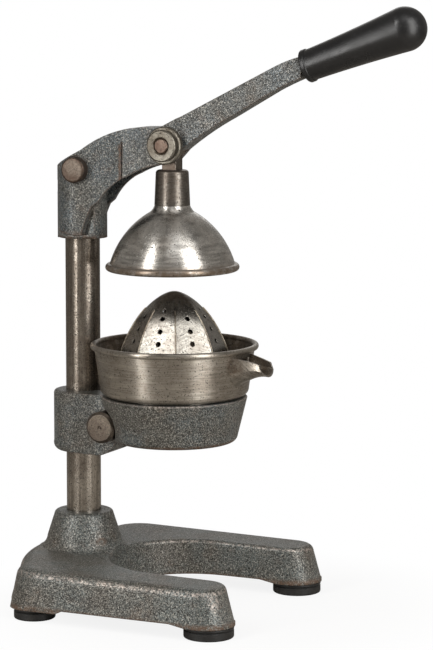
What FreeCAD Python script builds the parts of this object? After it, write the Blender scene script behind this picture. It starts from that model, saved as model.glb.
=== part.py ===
import FreeCAD, Part
import math
import os

# Lever citrus press. Millimetres, +Z up, +X towards the handle, near side at -Y.
# Everything is worked out with the column's axis at X = Y = 0 and the table at Z = 0,
# then moved once, so that the origin is the middle of the footprint.

Vector = FreeCAD.Vector
X_AXIS = Vector(1, 0, 0)
Y_AXIS = Vector(0, 1, 0)
Z_AXIS = Vector(0, 0, 1)
FULL_TURN = 360.0
BIG = 700.0
TINY = 1e-6

# Fits and gaps
SLIDE_GAP = 0.3
RUNNING_GAP = 0.05
BOLT_GAP = 0.3

# Column
COLUMN_RADIUS = 15.0
COLUMN_SEAT_Z = 34.0
HEAD_BOTTOM_Z = 316.0
SPIGOT_RADIUS = 8.0
SPIGOT_LENGTH = 30.0
COLUMN_BOLT_RADIUS = 6.0
COLUMN_BOLT_GRIP = 18.0
COLUMN_BOLT_ACROSS_FLATS = 19.0
COLUMN_BOLT_HEAD_HEIGHT = 7.5
COLUMN_WASHER_RADIUS = 14.0
COLUMN_WASHER_THICKNESS = 2.5
COLUMN_FLOOR = 8.0
BOLT_RECESS_GAP = 2.5

# Rubber feet and their screws
FOOT_HEIGHT = 10.0
FRONT_FOOT_RADIUS = 21.0
REAR_FOOT_RADIUS = 17.7
FRONT_FOOT_X = 164.2
REAR_FOOT_X = 1.8
FRONT_FOOT_Y = 90.5
REAR_FOOT_Y = 93.0
FOOT_BEAD = 3.0
FOOT_GROOVE = 0.8
FOOT_EDGE = 1.5
FOOT_RECESS_DEPTH = 5.0
FOOT_SCREW_RADIUS = 3.0
FOOT_SCREW_HEAD_RADIUS = 6.0
FOOT_SCREW_HEAD_HEIGHT = 3.5
FOOT_SCREW_BITE = 14.0

# Base casting
LEG_MARGIN = 2.4
BASE_REAR_X = -51.0
BASE_TOP_REAR_Z = 45.3
BASE_TOP_FRONT_Z = 42.0
BASE_OUTER_DRAFT = 2.5
BASE_INNER_DRAFT = 1.5
BASE_REAR_DRAFT = 11.0
BASE_OUTER_ROUND = 8.0
BASE_REAR_ROUND = 10.0
BASE_INNER_ROUND = 3.5
WELL_REAR_X = 35.0
BASE_ARCH_HEIGHT = 2.8
BASE_END_DRAFT = 9.0
BASE_CORNER_SOFTEN = 14.0
FRONT_ARCH_RAMP = 16.0
REAR_ARCH_RAMP = 6.0
FRONT_MARGIN = 0.8
PAD_OVERHANG = 1.0
REAR_PAD_REACH = 13.0
FRONT_PAD_REACH = 10.0
POCKET_WALL = 9.0
POCKET_ROOF = 9.0
BOSS_TOP_RADIUS = 25.0
BOSS_WAIST_RADIUS = 32.0
BOSS_WAIST_Z = 54.0
BOSS_FOOT_RADIUS = 39.5
BOSS_TOP_Z = 76.3
BOSS_EDGE = 3.0
BOSS_SINK = 4.0

# Head casting
HEAD_RADIUS = 21.5
HEAD_HALF_THICKNESS = 12.0
HEAD_FRONT_SHOULDER_Z = 344.0
HEAD_REAR_SHOULDER_Z = 350.0
HEAD_EDGE = 1.5
LUG_RADIUS = 10.5
BUSH_WALL = 1.5
SET_SCREW_RADIUS = 4.0
SET_SCREW_Z = 334.0
SET_SCREW_SOCKET_RADIUS = 2.2
SET_SCREW_SOCKET_DEPTH = 4.0

# Rear pin: the lever turns on it
REAR_PIN_X = 5.0
REAR_PIN_Z = 376.0
REAR_PIN_RADIUS = 5.5
REAR_PIN_HEAD_RADIUS = 11.0
REAR_PIN_HEAD_HEIGHT = 8.5
REAR_PIN_EDGE = 1.8
REAR_NUT_RADIUS = 10.0
REAR_NUT_HEIGHT = 6.0
PIN_END = 1.2
PIN_SEAT_Y = 19.8
PIN_SEAT_RADIUS = 12.0

# Front pin: the bell hangs on it
FRONT_PIN_SETBACK = 1.8
FRONT_PIN_Z = 398.5
FRONT_PIN_RADIUS = 6.4
FRONT_PIN_EDGE = 1.0
BIG_WASHER_RADIUS = 16.0
BIG_WASHER_THICKNESS = 5.3
SMALL_WASHER_RADIUS = 13.5
SMALL_WASHER_THICKNESS = 5.0
SMALL_WASHER_SINK = 1.3
WASHER_EDGE = 1.0
FAR_HEAD_RADIUS = 9.0
FAR_HEAD_HEIGHT = 4.0

# Lever casting
ARM_HALF_WIDTH = 12.2
ARM_FLARE_X = 45.0
SLOT_HALF_WIDTH = 7.2
HEEL_REACH = 56.7
EYE_GAP = 1.5
BAR_HALF_WIDTH = 9.5
BAR_END_HALF_WIDTH = 8.0
BAR_START_X = 100.0
BAR_STEP = 4.0

# Handle grip and the stud inside it
GRIP_X = 210.6
GRIP_Z = 466.9
GRIP_ANGLE = 20.0
GRIP_LENGTH = 111.5
GRIP_BEAD_RADIUS = 14.2
GRIP_BEAD_LENGTH = 5.0
GRIP_NECK_RADIUS = 13.3
GRIP_WAIST_RADIUS = 15.4
GRIP_BULB_RADIUS = 18.6
STUD_RADIUS = 5.0
STUD_IN_GRIP = 84.0
STUD_IN_BAR = 22.0

# Bell, its neck and the link that carries it
LINK_HALF_WIDTH = 6.5
LINK_EYE_RADIUS = 11.0
LINK_LENGTH = 21.3
NECK_LENGTH = 29.9
NECK_TOP_RADIUS = 14.0
NECK_BOTTOM_RADIUS = 15.3
NECK_EDGE = 2.6
BELL_WALL = 1.6
BELL_RIM_RADIUS = 54.3
BELL_DEPTH = 53.2
BELL_RIM_BEAD = 3.1
BELL_STUD_RADIUS = 5.0
BELL_WASHER_RADIUS = 9.5
BELL_WASHER_THICKNESS = 1.5
BELL_NUT_ACROSS_FLATS = 16.0
BELL_NUT_HEIGHT = 5.0

# Bracket that slides on the column and carries the bowl
BRACKET_BOTTOM_Z = 129.5
BRACKET_TOP_Z = 183.0
BRACKET_COLLAR_RADIUS = 25.7
BRACKET_EDGE = 3.0
BOWL_TO_COLUMN = 1.3
RING_TOP_Z = 183.0
RING_BOTTOM_Z = 143.9
RING_WALL = 8.8
RING_TAPER = 9.4
RING_LEDGE = 9.8
RING_EDGE = 3.0
NECK_HALF_WIDTH = 28.3
SLOT_WIDTH = 2.5
KNOB_X = 38.5
KNOB_Z = 157.6
KNOB_RADIUS = 13.6
KNOB_FACE_Y = 44.0
KNOB_EDGE = 2.4
KNOB_ROOT_RADIUS = 9.0
KNOB_ROOT_LENGTH = 2.6
KNOB_DIMPLE_RADIUS = 1.6
KNOB_STUD_RADIUS = 5.0
KNOB_SEAT_RADIUS = 15.5
CLAMP_NUT_ACROSS_FLATS = 17.0
CLAMP_NUT_HEIGHT = 8.0
CLAMP_WASHER_RADIUS = 10.5
CLAMP_WASHER_THICKNESS = 2.0

# Bowl and spout
BOWL_WALL = 1.6
BOWL_FOOT_RADIUS = 53.8
BOWL_FOOT_DEPTH = 3.6
BOWL_FLOOR_Z = 184.0
BOWL_CORNER_RADIUS = 6.5
BOWL_STEP = 10.2
BOWL_FLARE = 5.2
BOWL_RIM_Z = 226.3
BOWL_BEAD = 2.6
SPOUT_ANGLE = -6.0
SPOUT_WALL = 1.5
SPOUT_MOUTH_HALF_WIDTH = 12.0
SPOUT_MOUTH_LOW = 21.8
SPOUT_MOUTH_HIGH = 6.3
SPOUT_REACH = 28.8

# Strainer cone
CONE_TOP_Z = 273.3
CONE_WALL = 1.5
CONE_RIDGES = 8
CONE_RIDGE_ANGLE = -62.5
CONE_FLUTE = 0.09
CONE_SWELL = 1.95
CONE_POWER = 0.6
CONE_HOLE_RADIUS = 2.15
CONE_SMALL_HOLE_RADIUS = 1.7
CONE_HOLE_TOP_Z = 253.6
CONE_SMALL_HOLE_Z = 259.6
CONE_HOLE_RISE = 10.1
CONE_HOLE_ROWS = 6

# Sizes that follow from those above
BOWL_LOW_RADIUS = BOWL_FOOT_RADIUS + BOWL_STEP
BOWL_HIGH_RADIUS = BOWL_LOW_RADIUS + BOWL_FLARE
BOWL_BEAD_RADIUS = BOWL_HIGH_RADIUS - BOWL_WALL / 2 + BOWL_BEAD / 2
BOWL_AXIS_X = COLUMN_RADIUS + BOWL_TO_COLUMN + BOWL_BEAD_RADIUS + BOWL_BEAD
RING_TOP_RADIUS = BOWL_FOOT_RADIUS + RING_WALL
RING_BOTTOM_RADIUS = RING_TOP_RADIUS - RING_TAPER
RING_BORE_RADIUS = BOWL_FOOT_RADIUS - RING_LEDGE
FRONT_PIN_X = BOWL_AXIS_X - FRONT_PIN_SETBACK
NECK_TOP_Z = FRONT_PIN_Z - LINK_LENGTH
NECK_BOTTOM_Z = NECK_TOP_Z - NECK_LENGTH
BELL_RIM_Z = NECK_BOTTOM_Z - BELL_DEPTH
LEG_HALF_WIDTH = FRONT_FOOT_RADIUS + LEG_MARGIN
LEG_OUTER_Y = FRONT_FOOT_Y + LEG_HALF_WIDTH
LEG_INNER_Y = FRONT_FOOT_Y - LEG_HALF_WIDTH
LEG_FRONT_X = FRONT_FOOT_X + FRONT_FOOT_RADIUS + FRONT_MARGIN
CAVITY_HALF_WIDTH = HEAD_HALF_THICKNESS + SLIDE_GAP
LUG_GAP_RADIUS = LUG_RADIUS + SLIDE_GAP
SEAT_RECESS_Z = COLUMN_SEAT_Z - COLUMN_FLOOR
BOWL_FOOT_Z = BOWL_FLOOR_Z - BOWL_FOOT_DEPTH
CONE_BASE_Z = BOWL_FOOT_Z + BOWL_WALL
CONE_BASE_RADIUS = BOWL_FOOT_RADIUS - BOWL_WALL - SLIDE_GAP
CONE_HEIGHT = CONE_TOP_Z - CONE_BASE_Z


def outline(steps, place):
    """Closed wire: each step is a corner, or a pair (through, end) for an arc."""
    start = place(*steps[0])
    here = start
    edges = []
    for step in steps[1:]:
        if isinstance(step[0], tuple):
            through = place(*step[0])
            end = place(*step[1])
            edges.append(Part.Arc(here, through, end).toShape())
        else:
            end = place(*step)
            edges.append(Part.LineSegment(here, end).toShape())
        here = end
    if (here - start).Length > TINY:
        edges.append(Part.LineSegment(here, start).toShape())
    return Part.Wire(edges)


def side_slab(steps, low_y, high_y):
    """An outline in X and Z, as thick as from low_y to high_y."""
    face = Part.Face(outline(steps, lambda x, z: Vector(x, low_y, z)))
    return face.extrude(Vector(0, high_y - low_y, 0))


def plan_slab(steps, low_z, high_z):
    """An outline in X and Y, as thick as from low_z to high_z."""
    face = Part.Face(outline(steps, lambda x, y: Vector(x, y, low_z)))
    return face.extrude(Vector(0, 0, high_z - low_z))


def turned(steps, x=0.0, y=0.0):
    """A profile of radius and height, turned about a vertical axis."""
    face = Part.Face(outline(steps, lambda r, z: Vector(x + r, y, z)))
    return face.revolve(Vector(x, y, 0), Z_AXIS, FULL_TURN)


def turned_across(steps, x, z):
    """A profile of radius and Y, turned about an axis along Y."""
    face = Part.Face(outline(steps, lambda r, y: Vector(x + r, y, z)))
    return face.revolve(Vector(x, 0, z), Y_AXIS, FULL_TURN)


def upright(radius, low_z, high_z, x=0.0, y=0.0):
    return Part.makeCylinder(radius, high_z - low_z, Vector(x, y, low_z), Z_AXIS)


def across(radius, low_y, high_y, x, z):
    return Part.makeCylinder(radius, high_y - low_y, Vector(x, low_y, z), Y_AXIS)


def block(low, high):
    size = high - low
    return Part.makeBox(size.x, size.y, size.z, low)


def hexagon(across_flats, low, height, axis):
    """A hexagonal nut or bolt head, its lower face centred at low."""
    corner_radius = across_flats / math.sqrt(3)
    corners = []
    for index in range(7):
        angle = math.radians(60 * index)
        corners.append(Vector(corner_radius * math.cos(angle), corner_radius * math.sin(angle), 0))
    prism = Part.Face(Part.makePolygon(corners)).extrude(Vector(0, 0, height))
    prism.Placement = FreeCAD.Placement(low, FreeCAD.Rotation(Z_AXIS, axis))
    return prism


def point_at(radius, angle, x=0.0, y=0.0, z=0.0):
    turn = math.radians(angle)
    return Vector(x + radius * math.cos(turn), y + radius * math.sin(turn), z)


# Rubber feet: turned discs with a bead at the top and a screw in a recess

def feet():
    places = {}
    for row, x, y, radius in (
        ("front", FRONT_FOOT_X, FRONT_FOOT_Y, FRONT_FOOT_RADIUS),
        ("rear", REAR_FOOT_X, REAR_FOOT_Y, REAR_FOOT_RADIUS),
    ):
        places[row + "_foot_near"] = (x, -y, radius)
        places[row + "_foot_far"] = (x, y, radius)
    return places


def rubber_foot(x, y, radius):
    groove_z = FOOT_HEIGHT - FOOT_BEAD
    profile = [
        (FOOT_SCREW_RADIUS + RUNNING_GAP, FOOT_RECESS_DEPTH),
        (FOOT_SCREW_HEAD_RADIUS + SLIDE_GAP, FOOT_RECESS_DEPTH),
        (FOOT_SCREW_HEAD_RADIUS + SLIDE_GAP, 0),
        (radius - FOOT_EDGE, 0),
        ((radius - FOOT_EDGE * 0.3, FOOT_EDGE * 0.3), (radius, FOOT_EDGE)),
        (radius, groove_z - FOOT_GROOVE),
        (radius - FOOT_GROOVE, groove_z),
        ((radius + FOOT_GROOVE * 0.2, groove_z + FOOT_BEAD / 2), (radius - FOOT_GROOVE, FOOT_HEIGHT)),
        (FOOT_SCREW_RADIUS + RUNNING_GAP, FOOT_HEIGHT),
    ]
    return turned(profile, x, y)


def foot_screw(x, y):
    head = upright(
        FOOT_SCREW_HEAD_RADIUS, FOOT_RECESS_DEPTH - FOOT_SCREW_HEAD_HEIGHT, FOOT_RECESS_DEPTH, x, y
    )
    shank = upright(FOOT_SCREW_RADIUS, FOOT_RECESS_DEPTH, FOOT_HEIGHT + FOOT_SCREW_BITE, x, y)
    slot = block(
        Vector(x - FOOT_SCREW_HEAD_RADIUS, y - FOOT_GROOVE, 0),
        Vector(x + FOOT_SCREW_HEAD_RADIUS, y + FOOT_GROOVE, FOOT_RECESS_DEPTH - FOOT_SCREW_HEAD_HEIGHT / 2),
    )
    return head.fuse(shank).cut(slot)


# Base: a U-shaped casting with a flared boss for the column

def base_plan(outer, inner, end, back, soften, height_at):
    """The U outline, drawn in at its sides and ends, at the height that height_at gives for X."""
    outer_y = LEG_OUTER_Y - outer
    inner_y = LEG_INNER_Y + inner
    end_x = LEG_FRONT_X - end
    end_radius = (outer_y - inner_y) / 2
    end_centre_x = end_x - end_radius
    mid_y = (outer_y + inner_y) / 2
    corner_x = REAR_FOOT_X + soften
    corner_y = REAR_FOOT_Y - soften
    corner = outer_y - corner_y
    diagonal = corner * math.sqrt(0.5)
    well_centre_x = WELL_REAR_X + LEG_INNER_Y
    steps = [
        (corner_x, -outer_y),
        (end_centre_x, -outer_y),
        ((end_x, -mid_y), (end_centre_x, -inner_y)),
        (well_centre_x, -inner_y),
        ((well_centre_x - inner_y, 0), (well_centre_x, inner_y)),
        (end_centre_x, inner_y),
        ((end_x, mid_y), (end_centre_x, outer_y)),
        (corner_x, outer_y),
        ((corner_x - diagonal, corner_y + diagonal), (corner_x - corner, corner_y)),
        ((BASE_REAR_X + back, 0), (corner_x - corner, -corner_y)),
        ((corner_x - diagonal, -corner_y - diagonal), (corner_x, -outer_y)),
    ]
    return outline(steps, lambda x, y: Vector(x, y, height_at(x)))


def base_top(x):
    share = (x - BASE_REAR_X) / (LEG_FRONT_X - BASE_REAR_X)
    return BASE_TOP_REAR_Z + (BASE_TOP_FRONT_Z - BASE_TOP_REAR_Z) * share


def base_casting():
    low = base_plan(0, 0, 0, 0, 0, lambda x: FOOT_HEIGHT)
    high = base_plan(
        BASE_OUTER_DRAFT, BASE_INNER_DRAFT, BASE_END_DRAFT, BASE_REAR_DRAFT, BASE_CORNER_SOFTEN, base_top
    )
    body = round_rim(Part.makeLoft([low, high], True, True))
    floor_z = base_top(0) - BOSS_SINK
    boss = turned([
        (0, floor_z),
        (BOSS_FOOT_RADIUS, floor_z),
        (BOSS_FOOT_RADIUS, base_top(0) - BOSS_SINK / 4),
        ((BOSS_WAIST_RADIUS + 1.6, BOSS_WAIST_Z - 5.2), (BOSS_WAIST_RADIUS, BOSS_WAIST_Z)),
        (BOSS_TOP_RADIUS + 0.8, BOSS_TOP_Z - BOSS_EDGE),
        ((BOSS_TOP_RADIUS - 0.7, BOSS_TOP_Z - 0.7), (BOSS_TOP_RADIUS - BOSS_EDGE, BOSS_TOP_Z)),
        (0, BOSS_TOP_Z),
    ])
    well = upright(
        LEG_INNER_Y + BASE_INNER_DRAFT / 2, 0, BOSS_TOP_Z, WELL_REAR_X + LEG_INNER_Y
    )
    body = body.fuse(boss.cut(well))
    body = body.cut(upright(COLUMN_RADIUS, COLUMN_SEAT_Z, BOSS_TOP_Z))
    body = body.cut(upright(COLUMN_BOLT_RADIUS + BOLT_GAP, FOOT_HEIGHT, COLUMN_SEAT_Z))
    body = body.cut(upright(COLUMN_WASHER_RADIUS + BOLT_RECESS_GAP, 0, SEAT_RECESS_Z))
    arch_z = FOOT_HEIGHT + BASE_ARCH_HEIGHT
    side_low = REAR_FOOT_X + REAR_FOOT_RADIUS + REAR_PAD_REACH
    side_high = FRONT_FOOT_X - FRONT_PAD_REACH
    body = body.cut(side_slab([
        (side_low, 0),
        (side_low, FOOT_HEIGHT),
        (side_low + REAR_ARCH_RAMP, arch_z),
        (side_high - FRONT_ARCH_RAMP, arch_z),
        (side_high, FOOT_HEIGHT),
        (side_high, 0),
    ], -BIG, BIG))
    back_y = REAR_FOOT_Y - REAR_FOOT_RADIUS - PAD_OVERHANG
    back_face = Part.Face(outline([
        (-back_y, 0),
        (-back_y, FOOT_HEIGHT),
        (-back_y + REAR_ARCH_RAMP, arch_z),
        (back_y - REAR_ARCH_RAMP, arch_z),
        (back_y, FOOT_HEIGHT),
        (back_y, 0),
    ], lambda y, z: Vector(-BIG, y, z)))
    body = body.cut(back_face.extrude(Vector(BIG + side_low + REAR_ARCH_RAMP, 0, 0)))
    for side in (-1, 1):
        body = body.cut(leg_pocket(side * FRONT_FOOT_Y, arch_z))
    for x, y, radius in feet().values():
        body = body.fuse(upright(radius + PAD_OVERHANG, FOOT_HEIGHT, arch_z, x, y))
        body = body.cut(upright(FOOT_SCREW_RADIUS, FOOT_HEIGHT, FOOT_HEIGHT + FOOT_SCREW_BITE, x, y))
    return body.removeSplitter()


def round_rim(body):
    """Rounds the top edge: wide outside, wider at the rear, narrow round the well."""
    sheet = FreeCAD.newDocument()
    sharp = sheet.addObject("Part::Feature")
    sharp.Shape = body
    rounded = sheet.addObject("Part::Fillet")
    rounded.Base = sharp
    rounds = []
    for number, edge in enumerate(body.Edges, 1):
        if edge.BoundBox.ZMin > BASE_TOP_FRONT_Z - 1:
            start = edge.valueAt(edge.FirstParameter)
            end = edge.valueAt(edge.LastParameter)
            rounds.append((number, rim_round(start), rim_round(end)))
    rounded.Edges = rounds
    sheet.recompute()
    return rounded.Shape.copy()


def rim_round(corner):
    if corner.x < REAR_FOOT_X:
        return BASE_REAR_ROUND
    if abs(corner.y) < FRONT_FOOT_Y:
        return BASE_INNER_ROUND
    return BASE_OUTER_ROUND


def leg_pocket(y, arch_z):
    """The hollow that lightens a leg from below, between its two pads."""
    radius = LEG_HALF_WIDTH - POCKET_WALL
    rear_x = REAR_FOOT_X + REAR_FOOT_RADIUS + REAR_PAD_REACH + REAR_ARCH_RAMP + radius
    front_x = FRONT_FOOT_X - FRONT_FOOT_RADIUS - FRONT_ARCH_RAMP - radius
    roof_z = BASE_TOP_FRONT_Z - POCKET_ROOF
    return plan_slab([
        (rear_x, y - radius),
        (front_x, y - radius),
        ((front_x + radius, y), (front_x, y + radius)),
        (rear_x, y + radius),
        ((rear_x - radius, y), (rear_x, y - radius)),
    ], arch_z - BASE_ARCH_HEIGHT, roof_z)


# Column: a ground bar with a turned-down spigot at the top and a tapped hole below

def column():
    bar = upright(COLUMN_RADIUS, COLUMN_SEAT_Z, HEAD_BOTTOM_Z)
    spigot = upright(SPIGOT_RADIUS, HEAD_BOTTOM_Z, HEAD_BOTTOM_Z + SPIGOT_LENGTH)
    tapped = upright(COLUMN_BOLT_RADIUS, COLUMN_SEAT_Z, COLUMN_SEAT_Z + COLUMN_BOLT_GRIP)
    return bar.fuse(spigot).cut(tapped)


def column_washer():
    low_z = SEAT_RECESS_Z - COLUMN_WASHER_THICKNESS
    ring = upright(COLUMN_WASHER_RADIUS, low_z, SEAT_RECESS_Z)
    return ring.cut(upright(COLUMN_BOLT_RADIUS + BOLT_GAP, low_z, SEAT_RECESS_Z))


def column_bolt():
    head_top = SEAT_RECESS_Z - COLUMN_WASHER_THICKNESS
    head = hexagon(
        COLUMN_BOLT_ACROSS_FLATS, Vector(0, 0, head_top - COLUMN_BOLT_HEAD_HEIGHT),
        COLUMN_BOLT_HEAD_HEIGHT, Z_AXIS
    )
    return head.fuse(upright(COLUMN_BOLT_RADIUS, head_top, COLUMN_SEAT_Z + COLUMN_BOLT_GRIP))


# Head: a collar on the column's shoulder, with a flat-sided lug for the rear pin

def head_casting():
    tangent_rear = tangent_point(-HEAD_RADIUS, HEAD_REAR_SHOULDER_Z, 1)
    tangent_front = tangent_point(HEAD_RADIUS, HEAD_FRONT_SHOULDER_Z, -1)
    lug = side_slab([
        (-HEAD_RADIUS, HEAD_BOTTOM_Z),
        (-HEAD_RADIUS, HEAD_REAR_SHOULDER_Z),
        tangent_rear,
        ((REAR_PIN_X, REAR_PIN_Z + LUG_RADIUS), tangent_front),
        (HEAD_RADIUS, HEAD_FRONT_SHOULDER_Z),
        (HEAD_RADIUS, HEAD_BOTTOM_Z),
    ], -HEAD_HALF_THICKNESS, HEAD_HALF_THICKNESS)
    lug = lug.common(upright(HEAD_RADIUS, HEAD_BOTTOM_Z, BIG))
    skirt = turned([
        (0, HEAD_BOTTOM_Z),
        (HEAD_RADIUS - HEAD_EDGE, HEAD_BOTTOM_Z),
        (HEAD_RADIUS, HEAD_BOTTOM_Z + HEAD_EDGE),
        (HEAD_RADIUS, REAR_PIN_Z - HEEL_REACH + LUG_RADIUS),
        (0, REAR_PIN_Z - HEEL_REACH + LUG_RADIUS),
    ])
    heel_room = across(HEEL_REACH + SLIDE_GAP, -HEAD_RADIUS, HEAD_RADIUS, REAR_PIN_X, REAR_PIN_Z)
    body = lug.fuse(skirt.cut(heel_room))
    body = body.cut(upright(SPIGOT_RADIUS, HEAD_BOTTOM_Z, HEAD_BOTTOM_Z + SPIGOT_LENGTH))
    body = body.cut(across(
        REAR_PIN_RADIUS + RUNNING_GAP + BUSH_WALL, -HEAD_RADIUS, HEAD_RADIUS, REAR_PIN_X, REAR_PIN_Z
    ))
    body = body.cut(set_screw_bar(SET_SCREW_RADIUS, HEAD_RADIUS))
    return body.removeSplitter()


def tangent_point(x, z, side):
    """Where a line from a shoulder of the head touches the lug's round end."""
    away = math.hypot(x - REAR_PIN_X, z - REAR_PIN_Z)
    direction = math.degrees(math.atan2(z - REAR_PIN_Z, x - REAR_PIN_X))
    spread = math.degrees(math.acos(LUG_RADIUS / away))
    touch = point_at(LUG_RADIUS, direction - side * spread, REAR_PIN_X, REAR_PIN_Z)
    return (touch.x, touch.y)


def set_screw_bar(radius, outer_x):
    start = Vector(-outer_x, 0, SET_SCREW_Z)
    return Part.makeCylinder(radius, outer_x - SPIGOT_RADIUS, start, X_AXIS)


def head_set_screw():
    outer_x = HEAD_RADIUS - HEAD_EDGE
    socket = Part.makeCylinder(
        SET_SCREW_SOCKET_RADIUS, SET_SCREW_SOCKET_DEPTH, Vector(-outer_x, 0, SET_SCREW_Z), X_AXIS
    )
    return set_screw_bar(SET_SCREW_RADIUS, outer_x).cut(socket)


def lug_bush():
    low_y, high_y = -HEAD_HALF_THICKNESS, HEAD_HALF_THICKNESS
    inner = REAR_PIN_RADIUS + RUNNING_GAP
    bush = across(inner + BUSH_WALL, low_y, high_y, REAR_PIN_X, REAR_PIN_Z)
    return bush.cut(across(inner, low_y, high_y, REAR_PIN_X, REAR_PIN_Z))


# Lever: one casting, a flared fork over the head and the bell's link, then the bar

def rear(dx, dz):
    return (REAR_PIN_X + dx, REAR_PIN_Z + dz)


def front(dx, dz):
    return (FRONT_PIN_X + dx, FRONT_PIN_Z + dz)


def on_heel(dx):
    return rear(dx, -math.sqrt(HEEL_REACH ** 2 - dx ** 2))


def lever_side():
    """The lever seen from the side, from the heel's lower front corner, clockwise."""
    return [
        on_heel(4.2),
        (on_heel(-11.5), on_heel(-27.0)),
        rear(-27.0, 0.3),
        rear(4.4, 17.2),
        (rear(31.0, 32.0), front(-26.8, 14.6)),
        front(-6.0, 15.2),
        front(95.7, 66.7),
        (front(109.7, 73.0), front(123.6, 77.3)),
        front(122.5, 58.9),
        (front(110.8, 54.0), front(98.4, 48.0)),
        front(57.2, 24.6),
        (front(26.9, 6.4), front(9.2, -6.8)),
        front(1.2, -15.2),
        (front(-1.6, -16.4), front(-4.8, -16.5)),
        (front(-20.8, -20.0), front(-34.8, -26.0)),
        (rear(29.0, -15.0), rear(19.0, -27.5)),
        rear(13.4, -31.6),
        (rear(7.6, -44.5), on_heel(4.2)),
    ]


def lever_plan():
    """The lever seen from above: round at the head, flared, then a narrower bar."""
    away = math.hypot(ARM_FLARE_X, ARM_HALF_WIDTH)
    direction = math.degrees(math.atan2(ARM_HALF_WIDTH, ARM_FLARE_X))
    touch_angle = direction + math.degrees(math.acos(HEAD_RADIUS / away))
    touch = point_at(HEAD_RADIUS, touch_angle)
    bar_end_x = front(123.6, 0)[0]
    return [
        (touch.x, -touch.y),
        (ARM_FLARE_X, -ARM_HALF_WIDTH),
        (BAR_START_X - BAR_STEP, -ARM_HALF_WIDTH),
        (BAR_START_X, -BAR_HALF_WIDTH),
        (bar_end_x, -BAR_END_HALF_WIDTH),
        (bar_end_x, BAR_END_HALF_WIDTH),
        (BAR_START_X, BAR_HALF_WIDTH),
        (BAR_START_X - BAR_STEP, ARM_HALF_WIDTH),
        (ARM_FLARE_X, ARM_HALF_WIDTH),
        (touch.x, touch.y),
        ((-HEAD_RADIUS, 0), (touch.x, -touch.y)),
    ]


def lever_casting():
    body = side_slab(lever_side(), -HEAD_RADIUS, HEAD_RADIUS)
    body = body.common(plan_slab(lever_plan(), 0, BIG))
    head_room = side_slab([
        rear(-40, -80),
        rear(-40, -26.2),
        rear(-9.53, 5.3),
        (rear(0, LUG_GAP_RADIUS), rear(8.6, 6.53)),
        rear(40, 24),
        rear(40, -80),
    ], -CAVITY_HALF_WIDTH, CAVITY_HALF_WIDTH)
    eye_room = LINK_EYE_RADIUS + EYE_GAP
    side_x = eye_room * math.cos(math.radians(20))
    side_z = eye_room * math.sin(math.radians(20))
    link_room = side_slab([
        front(-48, -90),
        front(-48, 3.0),
        front(-30, 8.0),
        front(-8, eye_room - 1),
        front(0, eye_room),
        ((FRONT_PIN_X + side_x, FRONT_PIN_Z + side_z), front(side_x, -side_z)),
        front(22, -9.5),
        front(22, -90),
    ], -SLOT_HALF_WIDTH, SLOT_HALF_WIDTH)
    body = body.cut(head_room).cut(link_room)
    body = body.cut(across(REAR_PIN_RADIUS, -BIG, BIG, REAR_PIN_X, REAR_PIN_Z))
    body = body.cut(across(FRONT_PIN_RADIUS, -BIG, BIG, FRONT_PIN_X, FRONT_PIN_Z))
    for low_y, high_y in ((-BIG, -PIN_SEAT_Y), (PIN_SEAT_Y, BIG)):
        body = body.cut(across(PIN_SEAT_RADIUS, low_y, high_y, REAR_PIN_X, REAR_PIN_Z))
    body = body.cut(along_grip(2 * GRIP_BULB_RADIUS, 0, GRIP_LENGTH))
    body = body.cut(along_grip(STUD_RADIUS, -STUD_IN_BAR, 0))
    return body.removeSplitter()


def along_grip(radius, low, high):
    direction = point_at(1, GRIP_ANGLE)
    axis = Vector(direction.x, 0, direction.y)
    start = Vector(GRIP_X, 0, GRIP_Z) + axis * low
    return Part.makeCylinder(radius, high - low, start, axis)


def handle_grip():
    turn = math.radians(GRIP_ANGLE)
    bulb_s = GRIP_LENGTH - GRIP_BULB_RADIUS
    corner = GRIP_BULB_RADIUS * math.sqrt(0.5)
    steps = [
        (0, 0),
        (0, GRIP_BEAD_RADIUS - 1.2),
        ((0.5, GRIP_BEAD_RADIUS - 0.2), (1.8, GRIP_BEAD_RADIUS)),
        (GRIP_BEAD_LENGTH - 1.4, GRIP_BEAD_RADIUS),
        ((GRIP_BEAD_LENGTH - 0.3, GRIP_BEAD_RADIUS - 0.4), (GRIP_BEAD_LENGTH, GRIP_NECK_RADIUS)),
        ((GRIP_LENGTH * 0.45, GRIP_WAIST_RADIUS), (bulb_s, GRIP_BULB_RADIUS)),
        ((bulb_s + corner, corner), (GRIP_LENGTH, 0)),
    ]

    def place(s, r):
        x = GRIP_X + s * math.cos(turn) - r * math.sin(turn)
        z = GRIP_Z + s * math.sin(turn) + r * math.cos(turn)
        return Vector(x, 0, z)

    face = Part.Face(outline(steps, place))
    axis = Vector(math.cos(turn), 0, math.sin(turn))
    grip = face.revolve(Vector(GRIP_X, 0, GRIP_Z), axis, FULL_TURN)
    return grip.cut(along_grip(STUD_RADIUS, 0, STUD_IN_GRIP))


def grip_stud():
    return along_grip(STUD_RADIUS, -STUD_IN_BAR, STUD_IN_GRIP)


# Rear pin: a headed pin, with a round nut on the far side

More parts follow.
